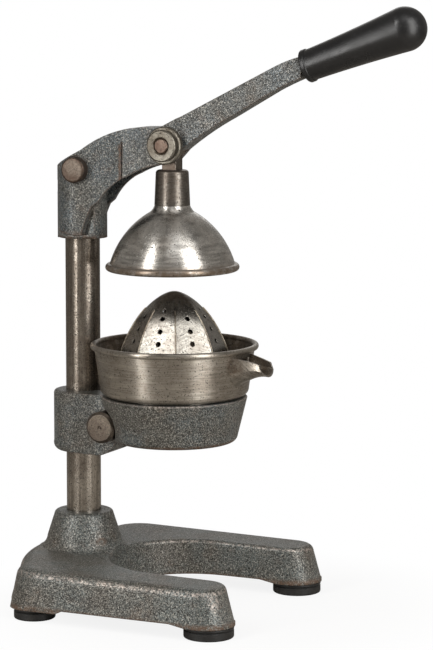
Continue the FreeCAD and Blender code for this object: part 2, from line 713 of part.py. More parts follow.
def rear_pin():
    face_y = -PIN_SEAT_Y - REAR_PIN_HEAD_HEIGHT
    edge = REAR_PIN_EDGE
    return turned_across([
        (0, face_y),
        (REAR_PIN_HEAD_RADIUS - edge, face_y),
        ((REAR_PIN_HEAD_RADIUS - edge * 0.3, face_y + edge * 0.3), (REAR_PIN_HEAD_RADIUS, face_y + edge)),
        (REAR_PIN_HEAD_RADIUS, -PIN_SEAT_Y),
        (REAR_PIN_RADIUS, -PIN_SEAT_Y),
        (REAR_PIN_RADIUS, PIN_SEAT_Y + REAR_NUT_HEIGHT),
        (REAR_PIN_RADIUS - PIN_END, PIN_SEAT_Y + REAR_NUT_HEIGHT + PIN_END),
        (0, PIN_SEAT_Y + REAR_NUT_HEIGHT + PIN_END),
    ], REAR_PIN_X, REAR_PIN_Z)


def rear_pin_nut():
    far_y = PIN_SEAT_Y + REAR_NUT_HEIGHT
    return turned_across([
        (REAR_PIN_RADIUS, PIN_SEAT_Y),
        (REAR_NUT_RADIUS, PIN_SEAT_Y),
        (REAR_NUT_RADIUS, far_y - PIN_END),
        (REAR_NUT_RADIUS - PIN_END, far_y),
        (REAR_PIN_RADIUS, far_y),
    ], REAR_PIN_X, REAR_PIN_Z)


# Front pin: headed on the far side, with a thick washer and a pressed collar on the near side

def front_pin():
    end_y = -ARM_HALF_WIDTH - BIG_WASHER_THICKNESS - SMALL_WASHER_THICKNESS
    far_y = ARM_HALF_WIDTH + FAR_HEAD_HEIGHT
    return turned_across([
        (0, end_y),
        (FRONT_PIN_RADIUS - FRONT_PIN_EDGE, end_y),
        (FRONT_PIN_RADIUS, end_y + FRONT_PIN_EDGE),
        (FRONT_PIN_RADIUS, ARM_HALF_WIDTH),
        (FAR_HEAD_RADIUS, ARM_HALF_WIDTH),
        (FAR_HEAD_RADIUS, far_y - FRONT_PIN_EDGE),
        (FAR_HEAD_RADIUS - FRONT_PIN_EDGE, far_y),
        (0, far_y),
    ], FRONT_PIN_X, FRONT_PIN_Z)


def near_washer():
    near_y = -ARM_HALF_WIDTH
    face_y = near_y - BIG_WASHER_THICKNESS
    return turned_across([
        (FRONT_PIN_RADIUS, near_y),
        (BIG_WASHER_RADIUS, near_y),
        (BIG_WASHER_RADIUS, face_y + WASHER_EDGE),
        (BIG_WASHER_RADIUS - WASHER_EDGE, face_y),
        (FRONT_PIN_RADIUS, face_y),
    ], FRONT_PIN_X, FRONT_PIN_Z)


def pin_collar():
    near_y = -ARM_HALF_WIDTH - BIG_WASHER_THICKNESS
    face_y = near_y - SMALL_WASHER_THICKNESS
    return turned_across([
        (FRONT_PIN_RADIUS, near_y),
        (SMALL_WASHER_RADIUS, near_y),
        (SMALL_WASHER_RADIUS, face_y + WASHER_EDGE),
        (SMALL_WASHER_RADIUS - WASHER_EDGE, face_y),
        (FRONT_PIN_RADIUS + SMALL_WASHER_SINK, face_y),
        (FRONT_PIN_RADIUS, face_y + SMALL_WASHER_SINK),
    ], FRONT_PIN_X, FRONT_PIN_Z)


# Bell: a spun shell under a turned neck, hung on a forged link

def bell_link():
    eye = across(LINK_EYE_RADIUS, -LINK_HALF_WIDTH, LINK_HALF_WIDTH, FRONT_PIN_X, FRONT_PIN_Z)
    bar = block(
        Vector(FRONT_PIN_X - LINK_HALF_WIDTH, -LINK_HALF_WIDTH, NECK_TOP_Z),
        Vector(FRONT_PIN_X + LINK_HALF_WIDTH, LINK_HALF_WIDTH, FRONT_PIN_Z),
    )
    stud_low = NECK_BOTTOM_Z - BELL_WALL - BELL_WASHER_THICKNESS - BELL_NUT_HEIGHT - PIN_END
    stud = upright(BELL_STUD_RADIUS, stud_low, NECK_TOP_Z, FRONT_PIN_X)
    body = eye.fuse(bar).fuse(stud)
    hole = across(
        FRONT_PIN_RADIUS + RUNNING_GAP + BUSH_WALL, -LINK_HALF_WIDTH, LINK_HALF_WIDTH,
        FRONT_PIN_X, FRONT_PIN_Z
    )
    return body.cut(hole).removeSplitter()


def link_bush():
    low_y, high_y = -LINK_HALF_WIDTH, LINK_HALF_WIDTH
    inner = FRONT_PIN_RADIUS + RUNNING_GAP
    bush = across(inner + BUSH_WALL, low_y, high_y, FRONT_PIN_X, FRONT_PIN_Z)
    return bush.cut(across(inner, low_y, high_y, FRONT_PIN_X, FRONT_PIN_Z))


def bell_neck():
    edge = NECK_EDGE
    return turned([
        (BELL_STUD_RADIUS, NECK_BOTTOM_Z),
        (NECK_BOTTOM_RADIUS, NECK_BOTTOM_Z),
        (NECK_TOP_RADIUS + 0.1, NECK_TOP_Z - edge),
        ((NECK_TOP_RADIUS - edge * 0.29, NECK_TOP_Z - edge * 0.29), (NECK_TOP_RADIUS - edge, NECK_TOP_Z)),
        (BELL_STUD_RADIUS, NECK_TOP_Z),
    ], FRONT_PIN_X)


def bell_shell():
    half = BELL_WALL / 2
    top_z = NECK_BOTTOM_Z - half
    corner = (NECK_BOTTOM_RADIUS - half, top_z)
    throat = (NECK_BOTTOM_RADIUS + 0.5, top_z - 2.9)
    shoulder = (NECK_BOTTOM_RADIUS + 3.1, top_z - 5.9)
    swell = (BELL_RIM_RADIUS - 14.7, BELL_RIM_Z + BELL_DEPTH * 0.532)
    rim = (BELL_RIM_RADIUS - half, BELL_RIM_Z)
    middle = Part.Wire([
        edge_between((BELL_STUD_RADIUS + half, top_z), corner),
        arc_between(corner, throat, shoulder),
        arc_between(shoulder, swell, rim),
    ])
    sheet = sheet_section(middle, BELL_WALL)
    rim_centre = Vector(BELL_RIM_RADIUS, 0, BELL_RIM_Z)
    bead = Part.Face(Part.Wire(Part.makeCircle(BELL_RIM_BEAD, rim_centre, Y_AXIS)))
    section = sheet.fuse(bead).removeSplitter().Faces[0]
    section.translate(Vector(FRONT_PIN_X, 0, 0))
    return section.revolve(Vector(FRONT_PIN_X, 0, 0), Z_AXIS, FULL_TURN)


def edge_between(start, end):
    return Part.LineSegment(Vector(start[0], 0, start[1]), Vector(end[0], 0, end[1])).toShape()


def arc_between(start, through, end):
    points = [Vector(p[0], 0, p[1]) for p in (start, through, end)]
    return Part.Arc(*points).toShape()


def sheet_section(middle, thickness):
    """The section of sheet metal of one thickness along a line of radius and height."""
    outer = middle.makeOffset2D(thickness / 2, 0, False, True)
    inner = middle.makeOffset2D(-thickness / 2, 0, False, True)
    ends = []
    for index in (0, -1):
        here = end_point(outer, index)
        ends.append(Part.LineSegment(here, nearest_end(inner, here)).toShape())
    edges = outer.Edges + inner.Edges + ends
    return Part.Face(Part.Wire(Part.__sortEdges__(edges)))


def end_point(wire, index):
    return wire.OrderedVertexes[index].Point


def nearest_end(wire, point):
    return min((end_point(wire, 0), end_point(wire, -1)), key=lambda p: (p - point).Length)


def bell_washer():
    high_z = NECK_BOTTOM_Z - BELL_WALL
    low_z = high_z - BELL_WASHER_THICKNESS
    ring = upright(BELL_WASHER_RADIUS, low_z, high_z, FRONT_PIN_X)
    return ring.cut(upright(BELL_STUD_RADIUS, low_z, high_z, FRONT_PIN_X))


def bell_nut():
    high_z = NECK_BOTTOM_Z - BELL_WALL - BELL_WASHER_THICKNESS
    low_z = high_z - BELL_NUT_HEIGHT
    nut = hexagon(BELL_NUT_ACROSS_FLATS, Vector(FRONT_PIN_X, 0, low_z), BELL_NUT_HEIGHT, Z_AXIS)
    return nut.cut(upright(BELL_STUD_RADIUS, low_z, high_z, FRONT_PIN_X))


# Bracket: a split collar on the column, a neck and a tapered ring under the bowl

def bracket_casting():
    edge = BRACKET_EDGE
    collar = turned([
        (0, BRACKET_BOTTOM_Z),
        (BRACKET_COLLAR_RADIUS - 2 * edge, BRACKET_BOTTOM_Z),
        (
            (BRACKET_COLLAR_RADIUS - 1.4, BRACKET_BOTTOM_Z + 2.4),
            (BRACKET_COLLAR_RADIUS, BRACKET_BOTTOM_Z + 3 * edge),
        ),
        (BRACKET_COLLAR_RADIUS, BRACKET_TOP_Z - edge),
        ((BRACKET_COLLAR_RADIUS - 0.9, BRACKET_TOP_Z - 0.9), (BRACKET_COLLAR_RADIUS - edge, BRACKET_TOP_Z)),
        (0, BRACKET_TOP_Z),
    ])
    slope = (RING_TOP_RADIUS - RING_BOTTOM_RADIUS) / (RING_TOP_Z - RING_BOTTOM_Z)
    low_edge = RING_EDGE + 1
    ring = turned([
        (0, RING_BOTTOM_Z),
        (RING_BOTTOM_RADIUS - low_edge, RING_BOTTOM_Z),
        (
            (RING_BOTTOM_RADIUS - 0.8, RING_BOTTOM_Z + 1.4),
            (RING_BOTTOM_RADIUS + slope * low_edge, RING_BOTTOM_Z + low_edge),
        ),
        (RING_TOP_RADIUS, RING_TOP_Z - 1),
        (RING_TOP_RADIUS - 1, RING_TOP_Z),
        (0, RING_TOP_Z),
    ], BOWL_AXIS_X)
    neck = side_slab([
        (0, BRACKET_BOTTOM_Z + 1),
        (30, BRACKET_BOTTOM_Z + 1),
        ((41, BRACKET_BOTTOM_Z + 6.5), (47, RING_BOTTOM_Z + 1)),
        (56, RING_BOTTOM_Z + 1),
        (56, BRACKET_TOP_Z),
        (0, BRACKET_TOP_Z),
    ], -NECK_HALF_WIDTH, NECK_HALF_WIDTH)
    flare = plan_slab([
        (0, -BRACKET_COLLAR_RADIUS),
        (26, -NECK_HALF_WIDTH),
        (56, -NECK_HALF_WIDTH),
        (56, NECK_HALF_WIDTH),
        (26, NECK_HALF_WIDTH),
        (0, BRACKET_COLLAR_RADIUS),
    ], 0, BIG)
    neck = neck.common(flare)
    body = collar.fuse(neck).fuse(ring)
    body = body.cut(upright(COLUMN_RADIUS + RUNNING_GAP, 0, BIG))
    body = body.cut(upright(RING_BORE_RADIUS, 0, BIG, BOWL_AXIS_X))
    body = body.cut(upright(BOWL_FOOT_RADIUS + SLIDE_GAP, BOWL_FOOT_Z, BIG, BOWL_AXIS_X))
    half = SLOT_WIDTH / 2
    body = body.cut(block(Vector(0, -half, 0), Vector(BOWL_AXIS_X - RING_BORE_RADIUS + half, half, BIG)))
    body = body.cut(across(KNOB_STUD_RADIUS + BOLT_GAP, -BIG, BIG, KNOB_X, KNOB_Z))
    for low_y, high_y in ((-BIG, -NECK_HALF_WIDTH), (NECK_HALF_WIDTH, BIG)):
        body = body.cut(across(KNOB_SEAT_RADIUS, low_y, high_y, KNOB_X, KNOB_Z))
    return body.removeSplitter()


def clamp_knob():
    root_y = -NECK_HALF_WIDTH
    face_y = -KNOB_FACE_Y
    back_y = root_y - KNOB_ROOT_LENGTH
    stud_y = NECK_HALF_WIDTH + CLAMP_WASHER_THICKNESS + CLAMP_NUT_HEIGHT + 2 * PIN_END
    return turned_across([
        (0, face_y + KNOB_DIMPLE_RADIUS / 2),
        (KNOB_DIMPLE_RADIUS, face_y),
        (KNOB_RADIUS - KNOB_EDGE, face_y),
        (KNOB_RADIUS, face_y + KNOB_EDGE),
        (KNOB_RADIUS, back_y - WASHER_EDGE),
        (KNOB_RADIUS - WASHER_EDGE, back_y),
        (KNOB_ROOT_RADIUS, back_y),
        (KNOB_ROOT_RADIUS, root_y),
        (KNOB_STUD_RADIUS, root_y),
        (KNOB_STUD_RADIUS, stud_y - PIN_END),
        (KNOB_STUD_RADIUS - PIN_END, stud_y),
        (0, stud_y),
    ], KNOB_X, KNOB_Z)


def clamp_washer():
    low_y = NECK_HALF_WIDTH
    high_y = low_y + CLAMP_WASHER_THICKNESS
    ring = across(CLAMP_WASHER_RADIUS, low_y, high_y, KNOB_X, KNOB_Z)
    return ring.cut(across(KNOB_STUD_RADIUS + RUNNING_GAP, low_y, high_y, KNOB_X, KNOB_Z))


def clamp_nut():
    low_y = NECK_HALF_WIDTH + CLAMP_WASHER_THICKNESS
    high_y = low_y + CLAMP_NUT_HEIGHT
    nut = hexagon(CLAMP_NUT_ACROSS_FLATS, Vector(KNOB_X, low_y, KNOB_Z), CLAMP_NUT_HEIGHT, Y_AXIS)
    return nut.cut(across(KNOB_STUD_RADIUS + RUNNING_GAP, low_y, high_y, KNOB_X, KNOB_Z))


# Bowl: spun sheet with a stepped foot and a rolled rim, and a spout let into its wall

def bowl_outer_steps(inset):
    """Half of the bowl's outside, drawn in by inset, from the axis to the rim."""
    corner_x = BOWL_LOW_RADIUS - BOWL_CORNER_RADIUS
    corner_z = BOWL_FLOOR_Z + BOWL_CORNER_RADIUS
    reach = BOWL_CORNER_RADIUS - inset
    diagonal = reach * math.sqrt(0.5)
    return [
        (0, BOWL_FOOT_Z + inset),
        (BOWL_FOOT_RADIUS - inset, BOWL_FOOT_Z + inset),
        (BOWL_FOOT_RADIUS - inset, BOWL_FLOOR_Z + inset),
        (corner_x, BOWL_FLOOR_Z + inset),
        ((corner_x + diagonal, corner_z - diagonal), (corner_x + reach, corner_z)),
        (BOWL_HIGH_RADIUS - inset, BOWL_RIM_Z),
        (0, BOWL_RIM_Z),
    ]


def bowl():
    body = turned(bowl_outer_steps(0), BOWL_AXIS_X)
    body = body.cut(turned(bowl_outer_steps(BOWL_WALL), BOWL_AXIS_X))
    bead = Part.makeTorus(BOWL_BEAD_RADIUS, BOWL_BEAD, Vector(BOWL_AXIS_X, 0, BOWL_RIM_Z), Z_AXIS)
    body = body.fuse(bead)
    mouth = block(
        Vector(BOWL_FOOT_RADIUS, -SPOUT_MOUTH_HALF_WIDTH, BOWL_RIM_Z - SPOUT_MOUTH_LOW),
        Vector(BOWL_HIGH_RADIUS + BOWL_BEAD, SPOUT_MOUTH_HALF_WIDTH, BOWL_RIM_Z - SPOUT_MOUTH_HIGH),
    )
    return body.cut(spout_place(mouth)).removeSplitter()


def spout_place(shape):
    """Turns a shape drawn along +X from the bowl's axis to the spout's direction."""
    shape.rotate(Vector(0, 0, 0), Z_AXIS, SPOUT_ANGLE)
    shape.translate(Vector(BOWL_AXIS_X, 0, 0))
    return shape


def trough(wall, lift):
    """The spout's U section lofted from the bowl's wall to the lip."""
    sections = []
    for share, half_width, top_drop, bottom_drop in (
        (-0.32, 18.5, 3.3, 33.3),
        (0.17, 13.8, 5.3, 24.7),
        (0.58, 11.2, 7.9, 20.5),
        (1.0, 10.6, 11.7, 20.7),
    ):
        reach = BOWL_HIGH_RADIUS + SPOUT_REACH * share
        half = half_width - wall
        low = BOWL_RIM_Z - bottom_drop + wall
        high = BOWL_RIM_Z - top_drop + lift
        bend = (low + high - lift) / 2
        steps = [
            (-half, high),
            (-half, bend),
            ((0, low), (half, bend)),
            (half, high),
        ]
        sections.append(outline(steps, lambda y, z, reach=reach: Vector(reach, y, z)))
    return Part.makeLoft(sections, True, False)


def spout():
    body = trough(0, 0).cut(trough(SPOUT_WALL, 20))
    lip_x = BOWL_HIGH_RADIUS + SPOUT_REACH
    low_z = BOWL_RIM_Z - 27.3
    lip_cut = side_slab([
        (lip_x - 11.2, BOWL_RIM_Z - 2.3),
        (lip_x - 0.5, low_z),
        (BIG, low_z),
        (BIG, BIG),
        (lip_x - 11.2, BIG),
    ], -BIG, BIG)
    body = spout_place(body.cut(lip_cut))
    inside = turned(bowl_outer_steps(0)[:-1] + [(BOWL_HIGH_RADIUS, BIG), (0, BIG)], BOWL_AXIS_X)
    return body.cut(inside)


# Strainer cone: eight ridges with a row of holes down each flute between them

def cone_radius(share, base_radius):
    return base_radius * (1 - share ** CONE_SWELL) ** CONE_POWER


def cone_section(share, base_radius, height):
    radius = cone_radius(share, base_radius)
    flute = radius * (1 - CONE_FLUTE * (1 - share ** 6))
    z = CONE_BASE_Z + height * share
    step = FULL_TURN / CONE_RIDGES
    edges = []
    for index in range(CONE_RIDGES):
        angle = CONE_RIDGE_ANGLE + step * index
        start = point_at(radius, angle, BOWL_AXIS_X, 0, z)
        middle = point_at(flute, angle + step / 2, BOWL_AXIS_X, 0, z)
        end = point_at(radius, angle + step, BOWL_AXIS_X, 0, z)
        edges.append(Part.Arc(start, middle, end).toShape())
    return Part.Wire(edges)


def cone_solid(base_radius, height):
    shares = (0.0, 0.14, 0.28, 0.42, 0.55, 0.67, 0.78, 0.87, 0.94, 0.98, 0.997)
    return Part.makeLoft([cone_section(s, base_radius, height) for s in shares], True, False)


def strainer_cone():
    body = cone_solid(CONE_BASE_RADIUS, CONE_HEIGHT)
    hollow = cone_solid(CONE_BASE_RADIUS - CONE_WALL, CONE_HEIGHT - CONE_WALL)
    body = body.cut(hollow)
    for index in range(CONE_RIDGES):
        angle = CONE_RIDGE_ANGLE + FULL_TURN / CONE_RIDGES * (index + 0.5)
        for row in range(CONE_HOLE_ROWS):
            body = body.cut(cone_hole(CONE_HOLE_TOP_Z - CONE_HOLE_RISE * row, angle, CONE_HOLE_RADIUS))
        if index % 2 == 1:
            body = body.cut(cone_hole(CONE_SMALL_HOLE_Z, angle, CONE_SMALL_HOLE_RADIUS))
    return body


def cone_hole(z, angle, hole_radius):
    """A punched hole, square to the cone's slope."""
    share = (z - CONE_BASE_Z) / CONE_HEIGHT
    small = 0.01
    radius = cone_radius(share, CONE_BASE_RADIUS)
    fall = small * CONE_HEIGHT
    spread = cone_radius(share - small, CONE_BASE_RADIUS) - radius
    outward = point_at(fall, angle) + Vector(0, 0, spread)
    outward.normalize()
    centre = point_at(radius, angle, BOWL_AXIS_X, 0, z)
    reach = 4 * hole_radius
    return Part.makeCylinder(hole_radius, 2 * reach, centre - outward * reach, outward)


def assemble():
    nodes = {"base_casting": base_casting()}
    screws = []
    for name, (x, y, radius) in feet().items():
        nodes[name] = rubber_foot(x, y, radius)
        screws.append(foot_screw(x, y))
    nodes["foot_screws"] = Part.Compound(screws)
    nodes["column"] = column()
    nodes["column_washer"] = column_washer()
    nodes["column_bolt"] = column_bolt()
    nodes["head_casting"] = head_casting()
    nodes["head_set_screw"] = head_set_screw()
    nodes["lug_bush"] = lug_bush()
    nodes["lever_casting"] = lever_casting()
    nodes["rear_pivot_pin"] = rear_pin()
    nodes["rear_pin_nut"] = rear_pin_nut()
    nodes["front_pivot_pin"] = front_pin()
    nodes["front_pin_washer"] = near_washer()
    nodes["front_pin_collar"] = pin_collar()
    nodes["grip_stud"] = grip_stud()
    nodes["handle_grip"] = handle_grip()
    nodes["bell_link"] = bell_link()
    nodes["link_bush"] = link_bush()
    nodes["bell_neck"] = bell_neck()
    nodes["bell_shell"] = bell_shell()
    nodes["bell_washer"] = bell_washer()
    nodes["bell_lock_nut"] = bell_nut()
    nodes["bowl_bracket"] = bracket_casting()
    nodes["clamp_washer"] = clamp_washer()
    nodes["clamp_nut"] = clamp_nut()
    nodes["clamp_knob"] = clamp_knob()
    nodes["juice_bowl"] = bowl()
    nodes["pouring_spout"] = spout()
    nodes["strainer_cone"] = strainer_cone()
    return nodes


def main():
    nodes = assemble()
    whole = Part.Compound(list(nodes.values())).optimalBoundingBox(True, False)
    middle = Vector(-(whole.XMin + whole.XMax) / 2, -(whole.YMin + whole.YMax) / 2, 0)
    os.makedirs("parts", exist_ok=True)
    for name, shape in nodes.items():
        placed = shape.copy()
        placed.translate(middle)
        placed.exportStep("parts/" + name + ".step")
    print("footprint middle at X", round(-middle.x, 3), "Y", round(-middle.y, 3))


main()
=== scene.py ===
import bpy
import bmesh
import math
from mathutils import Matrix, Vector


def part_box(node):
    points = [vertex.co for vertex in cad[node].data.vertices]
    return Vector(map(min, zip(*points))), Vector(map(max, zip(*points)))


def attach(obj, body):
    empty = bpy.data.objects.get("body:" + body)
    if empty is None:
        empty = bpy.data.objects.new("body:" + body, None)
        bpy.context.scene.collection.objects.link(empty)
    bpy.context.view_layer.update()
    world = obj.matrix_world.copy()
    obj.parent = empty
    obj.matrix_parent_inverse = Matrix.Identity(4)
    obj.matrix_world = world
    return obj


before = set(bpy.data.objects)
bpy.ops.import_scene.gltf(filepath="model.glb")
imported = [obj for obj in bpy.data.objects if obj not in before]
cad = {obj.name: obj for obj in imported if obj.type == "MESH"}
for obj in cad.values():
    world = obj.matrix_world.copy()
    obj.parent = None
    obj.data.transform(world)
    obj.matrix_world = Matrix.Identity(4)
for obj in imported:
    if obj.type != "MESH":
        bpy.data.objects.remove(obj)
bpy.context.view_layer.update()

# The room: a pale floor that runs into a white background, lit by two tall softboxes and
# a dim white sky. The camera stands at the photograph's height and angle.
scene = bpy.context.scene
scene.view_settings.view_transform = "Standard"

column_x = (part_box("column")[0].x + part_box("column")[1].x) / 2


def seen_from(angle, distance, height):
    """A place round the column: angle in degrees from the near side, positive to the right."""
    turn = math.radians(angle)
    return Vector((column_x + distance * math.sin(turn), -distance * math.cos(turn), height))


camera_right = 1.11168
camera_front = 2.07927
camera_height = 0.55384
camera_tilt = 0.109165
camera_turn = 0.441699
camera_side = 28.1
camera_data = bpy.data.cameras.new("camera")
camera_data.lens = 151.1
camera_data.sensor_width = 36.0
camera_data.sensor_fit = "AUTO"
camera_data.shift_y = -0.1
camera_data.clip_end = 20.0
camera = bpy.data.objects.new("camera", camera_data)
camera.location = (column_x + camera_right, -camera_front, camera_height)
camera.rotation_euler = (math.pi / 2 - camera_tilt, 0.0, camera_turn)
scene.collection.objects.link(camera)
scene.camera = camera


def softbox(name, angle, distance, height, width, tall, power, tint=(1.0, 1.0, 1.0)):
    """A flat lamp that aims at the middle of the press; angle is from the camera's side."""
    lamp = bpy.data.lights.new(name, "AREA")
    lamp.shape = "RECTANGLE"
    lamp.size = width
    lamp.size_y = tall
    lamp.energy = power
    lamp.color = tint
    stand = bpy.data.objects.new(name, lamp)
    stand.location = seen_from(camera_side + angle, distance, height)
    aim = softbox_aim - stand.location
    stand.rotation_euler = aim.to_track_quat("-Z", "Y").to_euler()
    scene.collection.objects.link(stand)


softbox_aim = Vector((column_x + 0.06, 0.0, 0.30))
warm_white = (1.0, 0.99, 0.975)
softbox(
    "softbox_right", angle=40.0, distance=1.5, height=0.80, width=0.70, tall=1.8, power=22.5, tint=warm_white,
)
softbox(
    "softbox_left", angle=-47.0, distance=1.5, height=0.80, width=0.34, tall=1.8, power=17.5, tint=warm_white,
)
softbox("softbox_top", angle=10.0, distance=0.9, height=1.60, width=0.7, tall=0.7, power=2.0)
softbox("softbox_back", angle=170.0, distance=1.7, height=1.10, width=0.9, tall=1.0, power=2.5)

floor_mesh = bpy.data.meshes.new("floor")
floor_edit = bmesh.new()
bmesh.ops.create_circle(floor_edit, cap_ends=True, cap_tris=False, segments=96, radius=4.0)
floor_edit.to_mesh(floor_mesh)
floor_edit.free()
floor = bpy.data.objects.new("floor", floor_mesh)
scene.collection.objects.link(floor)


def put(tree, kind, inputs=None, **settings):
    """Adds a node; each input is a value, or a socket to link from."""
    node = tree.nodes.new(kind)
    for name, value in settings.items():
        setattr(node, name, value)
    for key, value in (inputs or {}).items():
        if isinstance(value, bpy.types.NodeSocket):
            tree.links.new(value, node.inputs[key])
        else:
            node.inputs[key].default_value = value
    return node


def calc(tree, operation, first, second=0.0, clamp=False):
    """One sum; each side is a value, or a socket to link from."""
    return put(
        tree, "ShaderNodeMath", {0: first, 1: second}, operation=operation, use_clamp=clamp
    ).outputs[0]


def white_for_the_eye(tree, dim_shader, white_shader):
    """What the camera, glass and, in part, gloss see is white; everything else sees the dim one."""
    path = put(tree, "ShaderNodeLightPath")
    eye = calc(tree, "ADD", path.outputs["Is Camera Ray"], path.outputs["Is Transmission Ray"])
    gloss = calc(tree, "MULTIPLY", path.outputs["Is Glossy Ray"], 0.08)
    factor = calc(tree, "ADD", eye, gloss, clamp=True)
    return put(tree, "ShaderNodeMixShader", {0: factor, 1: dim_shader, 2: white_shader}).outputs[0]


world = bpy.data.worlds.new("studio")
scene.world = world
world.use_nodes = True
world.node_tree.nodes.clear()
sky = world.node_tree
sky_dim = put(sky, "ShaderNodeBackground", {"Color": (1.0, 0.93, 0.84, 1.0), "Strength": 0.22})
sky_white = put(sky, "ShaderNodeBackground", {"Color": (1.0, 1.0, 1.0, 1.0), "Strength": 1.0})
put(sky, "ShaderNodeOutputWorld", {
    "Surface": white_for_the_eye(sky, sky_dim.outputs[0], sky_white.outputs[0]),
})

floor_material = bpy.data.materials.new("floor_paper")
floor_material.use_nodes = True
floor_tree = floor_material.node_tree
floor_tree.nodes.clear()
floor_grain = put(floor_tree, "ShaderNodeTexNoise", {"Scale": 60.0, "Detail": 3.0})
floor_tone = put(floor_tree, "ShaderNodeMapRange", {
    "Value": floor_grain.outputs[0], "To Min": 0.90, "To Max": 0.93,
})
floor_paper = put(floor_tree, "ShaderNodeBsdfDiffuse", {"Color": floor_tone.outputs[0]})
floor_dull = put(floor_tree, "ShaderNodeBsdfDiffuse", {"Color": (0.50, 0.47, 0.43, 1.0)})
floor_glow = put(floor_tree, "ShaderNodeEmission", {"Color": (1.0, 1.0, 1.0, 1.0), "Strength": 1.0})
floor_path = put(floor_tree, "ShaderNodeLightPath")
floor_reach = put(floor_tree, "ShaderNodeVectorMath", {
    0: put(floor_tree, "ShaderNodeTexCoord").outputs["Object"],
}, operation="LENGTH").outputs["Value"]
floor_fade = put(floor_tree, "ShaderNodeMapRange", {
    "Value": floor_reach, "From Min": 0.10, "From Max": 0.27, "To Min": 0.86, "To Max": 1.0,
}, interpolation_type="SMOOTHSTEP").outputs[0]
floor_seen = put(floor_tree, "ShaderNodeMixShader", {
    0: floor_fade, 1: floor_paper.outputs[0], 2: floor_glow.outputs[0],
})
put(floor_tree, "ShaderNodeOutputMaterial", {
    "Surface": put(floor_tree, "ShaderNodeMixShader", {
        0: floor_path.outputs["Is Camera Ray"], 1: floor_dull.outputs[0], 2: floor_seen.outputs[0],
    }).outputs[0],
})
floor_mesh.materials.append(floor_material)


# The base: a grey-iron casting under hammered enamel, standing on its own pads. The paint
# has chipped to bright metal along the edges, a band on the upward roundings is partly wear
# and partly painted highlight, and rust creeps in where it meets the feet.
def new_material(name):
    material = bpy.data.materials.new(name)
    material.use_nodes = True
    tree = material.node_tree
    tree.nodes.clear()
    shader = put(tree, "ShaderNodeBsdfPrincipled")
    put(tree, "ShaderNodeOutputMaterial", {"Surface": shader.outputs[0]})
    return material, tree, shader


def new_group(name, inputs, outputs):
    """A shader node group; inputs are (name, kind, value) and outputs (name, kind)."""
    group = bpy.data.node_groups.new(name, "ShaderNodeTree")
    for socket_name, kind, value in inputs:
        socket = group.interface.new_socket(socket_name, in_out="INPUT", socket_type="NodeSocket" + kind)
        if value is not None:
            socket.default_value = value
    for socket_name, kind in outputs:
        group.interface.new_socket(socket_name, in_out="OUTPUT", socket_type="NodeSocket" + kind)
    return group, put(group, "NodeGroupInput").outputs, put(group, "NodeGroupOutput")


def blend(tree, factor, first, second, mode="MIX"):
    node = put(tree, "ShaderNodeMix", {0: factor}, data_type="RGBA", blend_type=mode)
    for index, value in ((6, first), (7, second)):
        if isinstance(value, bpy.types.NodeSocket):
            tree.links.new(value, node.inputs[index])
        else:
            node.inputs[index].default_value = value
    return node.outputs[2]


def spots(tree, vector, scale, low, high, detail=2.0, roughness=0.6):
    """0 to 1 where a noise of that scale passes from low to high."""
    noise = put(tree, "ShaderNodeTexNoise", {
        "Vector": vector, "Scale": scale, "Detail": detail, "Roughness": roughness,
    })
    return put(tree, "ShaderNodeMapRange", {
        "Value": noise.outputs[0], "From Min": low, "From Max": high,
    }, interpolation_type="SMOOTHSTEP").outputs[0]


# Edge finder: 0 on flat metal, 1 on a corner narrower than the radius.
edge_group, edge_in, edge_out = new_group(
    "found_edges", [("Radius", "Float", 0.0015), ("Low", "Float", 0.05), ("High", "Float", 0.3)],
    [("Edge", "Float"), ("Up", "Float")],
)
edge_round = put(edge_group, "ShaderNodeBevel", {"Radius": edge_in["Radius"]}, samples=6)
edge_flat = put(edge_group, "ShaderNodeNewGeometry")
edge_dot = put(edge_group, "ShaderNodeVectorMath", {
    0: edge_round.outputs[0], 1: edge_flat.outputs["Normal"],
}, operation="DOT_PRODUCT").outputs["Value"]
edge_bend = calc(edge_group, "SUBTRACT", 1.0, edge_dot, clamp=True)
edge_mask = put(edge_group, "ShaderNodeMapRange", {
    "Value": edge_bend, "From Min": edge_in["Low"], "From Max": edge_in["High"],
}, interpolation_type="SMOOTHSTEP").outputs[0]
edge_group.links.new(edge_mask, edge_out.inputs["Edge"])
edge_local = put(edge_group, "ShaderNodeVectorTransform", {
    0: edge_round.outputs[0],
}, vector_type="NORMAL", convert_from="WORLD", convert_to="OBJECT").outputs[0]
edge_up = put(edge_group, "ShaderNodeMapRange", {
    "Value": put(edge_group, "ShaderNodeSeparateXYZ", {0: edge_local}).outputs[2],
    "From Min": -0.05, "From Max": 0.15,
}, interpolation_type="SMOOTHSTEP").outputs[0]
edge_group.links.new(edge_up, edge_out.inputs["Up"])

enamel_group, enamel_in, enamel_out = new_group(
    "hammered_enamel",
    [
        ("Vector", "Vector", None), ("Paint", "Color", (0.100, 0.114, 0.116, 1.0)),
        ("Shade", "Color", (0.074, 0.072, 0.062, 1.0)), ("Fleck", "Color", (0.48, 0.46, 0.41, 1.0)),
        ("Pit", "Color", (0.014, 0.013, 0.011, 1.0)), ("Rust", "Color", (0.105, 0.056, 0.030, 1.0)),
        ("Bare And Highlight", "Color", (0.62, 0.53, 0.47, 1.0)), ("Rusty", "Float", 0.0), ("Chipped", "Float", 0.0),
        ("Worn", "Float", 0.0), ("Fleck Amount", "Float", 0.55),
    ],
    [("Color", "Color"), ("Roughness", "Float"), ("Metallic", "Float"), ("Height", "Float")],
)
enamel_place = enamel_in["Vector"]
cloud = spots(enamel_group, enamel_place, 26.0, 0.36, 0.64, 4.0)
enamel_color = blend(enamel_group, cloud, enamel_in["Shade"], enamel_in["Paint"])
film = spots(enamel_group, enamel_place, 75.0, 0.50, 0.72, 5.0, 0.7)
film = calc(enamel_group, "MULTIPLY", film, 0.30)
